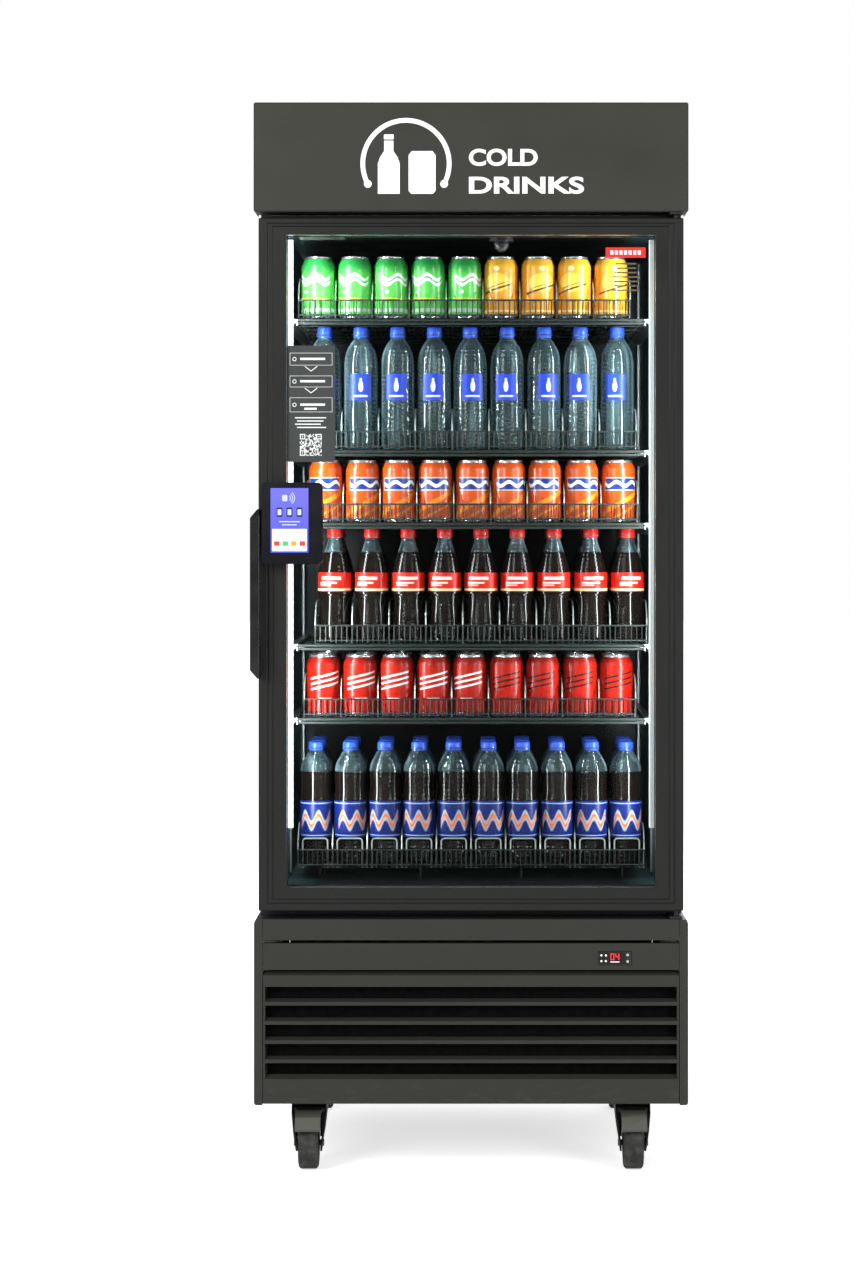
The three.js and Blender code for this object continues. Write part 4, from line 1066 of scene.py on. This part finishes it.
def terminal_graphics():
    """Lit screen content: waves at the top, three device shapes, a pale lower panel with small icons."""
    low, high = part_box("terminal_screen")
    looks = [ink("screen_pale", rgb(176, 184, 222), 0.4), ink("screen_panel", rgb(232, 233, 232), 0.55),
             ink("screen_dark", rgb(30, 32, 62), 0.0), ink("screen_grey", rgb(146, 148, 154), 0.3),
             ink("screen_orange", rgb(236, 140, 40), 0.6), ink("screen_red", rgb(204, 50, 40), 0.6),
             ink("screen_green", rgb(70, 160, 80), 0.6)]
    front, back = low.y - 0.00025, low.y - 0.00002
    raised = front - 0.0001
    mesh = Mesh()
    x0, x1, z0, z1 = low.x + 0.003, high.x - 0.003, low.z + 0.003, high.z - 0.003
    split = z0 + (z1 - z0) * 0.36
    middle = (x0 + x1) / 2
    mesh.plate(soft_rectangle(x0, x1, z0, split, 0.0015), front, back, 1)
    for k, radius in enumerate((0.005, 0.009, 0.013)):
        mesh.plate(arc(middle - 0.004, z1 - 0.016, radius, radius + 0.0016, -50, 50, 10), front, back, 0)
    mesh.plate(soft_rectangle(middle - 0.014, middle - 0.004, z1 - 0.022, z1 - 0.01, 0.002), front, back, 0)
    for k in range(3):
        x = middle + (k - 1) * 0.019
        mesh.plate(soft_rectangle(x - 0.0055, x + 0.0055, z1 - 0.052, z1 - 0.034, 0.0018), front, back, 2)
        mesh.plate(soft_rectangle(x - 0.0036, x + 0.0036, z1 - 0.0485, z1 - 0.0375, 0.0008), raised, front, 0)
    for row, half in enumerate((0.02, 0.014)):
        z = z1 - 0.062 - 0.006 * row
        mesh.bar(middle - half, middle + half, z, z + 0.002, front, back)
    for row, half in enumerate((0.027, 0.022)):
        z = split - 0.008 - 0.006 * row
        mesh.bar(middle - half, middle + half, z, z + 0.0018, raised, front, 3)
    for k, slot in enumerate((5, 6, 4, 5)):
        x = x0 + 0.009 + k * 0.0162
        mesh.plate(soft_rectangle(x - 0.0055, x + 0.0055, z0 + 0.01, z0 + 0.019, 0.001), raised, front, slot)
        mesh.bar(x - 0.005, x + 0.005, z0 + 0.0055, z0 + 0.007, raised, front, 3)
    mesh.build("terminal_graphics", looks, "door")


def segment_digit(mesh, x, z, width, tall, lit, front, back):
    """Seven-segment figure; lit names its bars."""
    line, half = width * 0.2, tall / 2
    bars = {"a": (0, tall - line, width, tall), "g": (0, half - line / 2, width, half + line / 2),
            "d": (0, 0, width, line), "f": (0, half, line, tall), "b": (width - line, half, width, tall),
            "e": (0, 0, line, half), "c": (width - line, 0, width, half)}
    for key in lit:
        a, b, c, d = bars[key]
        gap = line * 0.12
        mesh.bar(x + a + gap, x + c - gap, z + b + gap, z + d - gap, front, back, 1)


def controller_face():
    """Dark window, red figures, lamps and the line under them."""
    low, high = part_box("controller_housing")
    looks = [glossy("controller_window", rgb(12, 13, 15)), ink("figure_red", rgb(232, 40, 34), 1.6),
             ink("lamp_white", rgb(226, 232, 230), 0.7)]
    mesh = Mesh()
    cx, cz = (low.x + high.x) / 2, (low.z + high.z) / 2
    front, back = low.y - 0.0003, low.y + 0.0001
    raised = front - 0.00015
    mesh.plate(soft_rectangle(cx - 0.0305, cx + 0.0195, cz - 0.0115, cz + 0.0115, 0.0012), front, back, 0)
    for k, lit in enumerate(("abcdef", "bcfg")):
        segment_digit(mesh, cx - 0.0085 + k * 0.0095, cz - 0.0035, 0.0072, 0.0125, lit, raised, front)
    for x in (-0.026, -0.0175):
        for z in (-0.0055, 0.0055):
            mesh.plate(disc(cx + x, cz + z, 0.0019, 14), raised, front, 2)
    mesh.bar(cx - 0.009, cx + 0.0085, cz - 0.0078, cz - 0.0064, raised, front, 2)
    mesh.build("controller_face", looks, "cabinet")


def black_shade_screen():
    """Black woven screen between the louvres and the condenser, in a folded rim, and a foam seal above it,
    all near black: a sheet of painted shade that makes the louvre gaps read black.
    """
    low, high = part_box("grille_panel")
    # Near-black weave: painted shade seen through the louvres.
    look = Look("black_shade_screen", rgb(4, 4, 4), 0.8, Specular_IOR_Level=0.1)
    weave = look.node("TexChecker", {"Vector": look.point, "Scale": 700.0}).outputs["Fac"]
    look.color(look.mix(weave, rgb(1, 1, 1), rgb(4, 4, 4)))
    look.uneven(60.0, 4.0, 0.7, 0.9)
    look.bump(weave, 0.0002)
    mesh = Mesh()
    rim, gap = 0.006, 0.0001
    x0, x1, y, z0, z1 = low.x + rim, high.x - rim, high.y + 0.003, low.z + 0.004, high.z - 0.003
    mesh.block((x0 + rim, y, z0 + rim), (x1 - rim, y + 0.0015, z1 - rim))
    for z in (z0, z1 - rim):
        mesh.block((x0, y - 0.0015, z), (x1, y + 0.004, z + rim))
    for x in (x0, x1 - rim):
        mesh.block((x, y - 0.0015, z0 + rim + gap), (x + rim, y + 0.004, z1 - rim - gap))
    mesh.block((x0, y + 0.0045, z1 - 0.02), (x1, y + 0.0075, z1 + 0.02))
    mesh.build("black_shade_screen", [look.material], "cabinet", bevel=0.0004)


# ---- small hardware -------------------------------------------------------------------------


def screw(mesh, x, y, z):
    """Pan head on a face that looks at +Y, with its cross recess drawn as two black bars: painted shade."""
    radius, sides = 0.0036, 12
    rings = [(radius, 0.0), (radius, 0.0007), (radius * 0.8, 0.0016), (radius * 0.4, 0.0021)]
    angles = [2 * math.pi * k / sides for k in range(sides)]
    points = [(x + r * math.cos(a), y + height, z + r * math.sin(a)) for r, height in rings for a in angles]
    faces = []
    for ring in range(0, 3 * sides, sides):
        for k in range(sides):
            k2 = (k + 1) % sides
            faces.append((ring + sides + k, ring + sides + k2, ring + k2, ring + k))
    faces += [tuple(reversed(range(3 * sides, 4 * sides))), tuple(range(sides))]
    mesh.add(points, faces)
    # Black cross bars on the head: painted shade of the recess.
    for wide, tall in ((radius * 0.62, radius * 0.13), (radius * 0.13, radius * 0.62)):
        mesh.block((x - wide, y + 0.0016, z - tall), (x + wide, y + 0.0022, z + tall), 1)


def rear_screws():
    """Screws round the rear panel and the rear grille."""
    mesh = Mesh()
    low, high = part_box("rear_panel")
    for side in (-1, 1):
        for k in range(9):
            screw(mesh, side * (high.x - 0.008), high.y, low.z + 0.03 + k * 0.187)
    for k in range(-2, 3):
        screw(mesh, k * 0.18, high.y, high.z - 0.01)
    low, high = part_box("rear_grille")
    for x in (low.x + 0.012, 0.0, high.x - 0.012):
        for z in (low.z + 0.012, high.z - 0.012):
            screw(mesh, x, high.y, z)
    looks = [metal("screw_zinc", rgb(170, 172, 170), 0.3, (1, 1, 1)), rubber("screw_recess_shade", BLACK)]
    mesh.build("rear_screws", looks, "cabinet", smooth=35)


def axle(corner):
    """Middle of a caster's wheel."""
    low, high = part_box("caster_wheel_" + corner)
    return (low + high) / 2


def caster_guards():
    """Thread guards: they close each fork beside its wheel, below the apron, and ride with it."""
    look = painted("guard_steel", rgb(17, 18, 17), 0.4)
    trail = 0.038  # from the axle forward to the swivel
    outline = [(20.6, 99.4), (20.6, 57.0), (23.7, 57.0), (27.3, 78.0), (29.6, 99.4)]
    for corner in CORNERS:
        middle = axle(corner)
        swivel = middle.y + trail
        mesh = Mesh()
        for sign in (-1, 1):
            points = [(middle.x + sign * x * MM, z * MM) for x, z in outline]
            mesh.plate(points, swivel - 0.0188, swivel - 0.0157)
        mesh.build("caster_guards_" + corner, [look], "fork_" + corner, bevel=0.0004)


def caster_nuts():
    """Axle nuts on each fork, riding with it."""
    bright = metal("bolt_zinc", rgb(118, 120, 118), 0.34, (1, 1, 1))
    radius, sides = 0.0072, 6
    angles = [2 * math.pi * k / sides for k in range(sides)]
    hexagon = [(radius * math.cos(a), radius * math.sin(a)) for a in angles]
    faces = [(k, (k + 1) % sides, (k + 1) % sides + sides, k + sides) for k in range(sides)]
    faces += [tuple(reversed(range(sides))), tuple(range(sides, 2 * sides))]
    for corner in CORNERS:
        middle = axle(corner)
        mesh = Mesh()
        for sign in (-1, 1):
            points = [(middle.x + sign * out, middle.y + a, middle.z + b)
                      for out in (0.0247, 0.0294) for a, b in hexagon]
            mesh.add(points, faces if sign > 0 else [f[::-1] for f in faces])
        mesh.build("caster_nuts_" + corner, [bright], "fork_" + corner, bevel=0.0003)


# ---- studio ---------------------------------------------------------------------------------


def area_light(name, place, target, size, power, color=(1, 1, 1)):
    """Rectangular light at place, turned to target."""
    data = bpy.data.lights.new(name, "AREA")
    data.shape, data.size, data.size_y, data.energy, data.color = "RECTANGLE", size[0], size[1], power, color
    made = put(name, data)
    made.location = place
    made.rotation_euler = (Vector(target) - Vector(place)).to_track_quat("-Z", "Y").to_euler()


def studio():
    """Pale floor, white surroundings, three soft lights and one inside at each light strip."""
    floor = bpy.data.meshes.new("studio_floor")
    floor.from_pydata([(-30, -30, 0), (30, -30, 0), (30, 30, 0), (-30, 30, 0)], [], [(0, 1, 2, 3)])
    look = Look("floor_paint", (0.9, 0.9, 0.9, 1), 0.9, Emission_Color=(1, 1, 1, 1))
    look.shade((0.9, 0.9, 0.9, 1), 0.01, 2.0)
    away = look.node("VectorMath", {0: look.point}, operation="LENGTH").outputs["Value"]
    seen_glow = look.span(away, 0.9, 2.2, 0.66, 1.0)
    seen = look.node("LightPath").outputs["Is Camera Ray"]
    look.feed("Emission Strength", look.node("Mix", {0: seen, 2: 0.14, 3: seen_glow}).outputs[0])
    floor.materials.append(look.material)
    put("studio_floor", floor)
    world = bpy.data.worlds.new("studio")
    world.use_nodes = True
    tree = world.node_tree
    sky = tree.nodes["Background"]
    sky.inputs["Color"].default_value = (1.0, 1.0, 1.0, 1.0)
    seen = tree.nodes.new("ShaderNodeMapRange")
    seen.inputs["To Min"].default_value, seen.inputs["To Max"].default_value = 0.35, 1.0
    tree.links.new(tree.nodes.new("ShaderNodeLightPath").outputs["Is Camera Ray"], seen.inputs["Value"])
    tree.links.new(seen.outputs["Result"], sky.inputs["Strength"])
    bpy.context.scene.world = world
    area_light("key_light", (-2.9, -4.2, 2.9), (0, 0, 1.1), (1.8, 2.6), 172)
    area_light("fill_light", (3.1, -4.0, 2.3), (0, 0, 1.1), (1.6, 2.6), 110)
    area_light("rear_light", (1.2, 4.6, 3.0), (0, 0, 1.1), (2.6, 2.0), 110)
    for side, power in (("left", 6.2), ("right", 5.0)):
        low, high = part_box("led_strip_" + side)
        sign = 1 if side == "left" else -1
        edge = (high.x + 0.002) if side == "left" else (low.x - 0.002)
        middle = Vector((edge, (low.y + high.y) / 2, (low.z + high.z) / 2))
        inward = middle + Vector((sign, 0.35, 0))
        area_light("strip_light_" + side, middle, inward, (0.012, high.z - low.z), power, (0.93, 0.98, 1.0))


def camera():
    """Level view from straight in front, at about chest height."""
    data = bpy.data.cameras.new("camera")
    data.lens, data.sensor_width = 73.2, 36
    data.shift_x, data.shift_y = -0.0344, -0.0859
    data.clip_start, data.clip_end = 0.1, 100
    made = put("camera", data)
    made.location = (0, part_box("door_frame")[0].y - 5.0, 1.243)
    made.rotation_euler = (math.pi / 2, 0, 0)
    bpy.context.scene.camera = made
    bpy.context.scene.view_settings.view_transform = "Standard"


camera()
studio()
dress_frame()
shelves_and_racks()
drinks()
sign()
glass_spacer()
placard()
small_label()
terminal_graphics()
controller_face()
black_shade_screen()
rear_screws()
caster_guards()
caster_nuts()
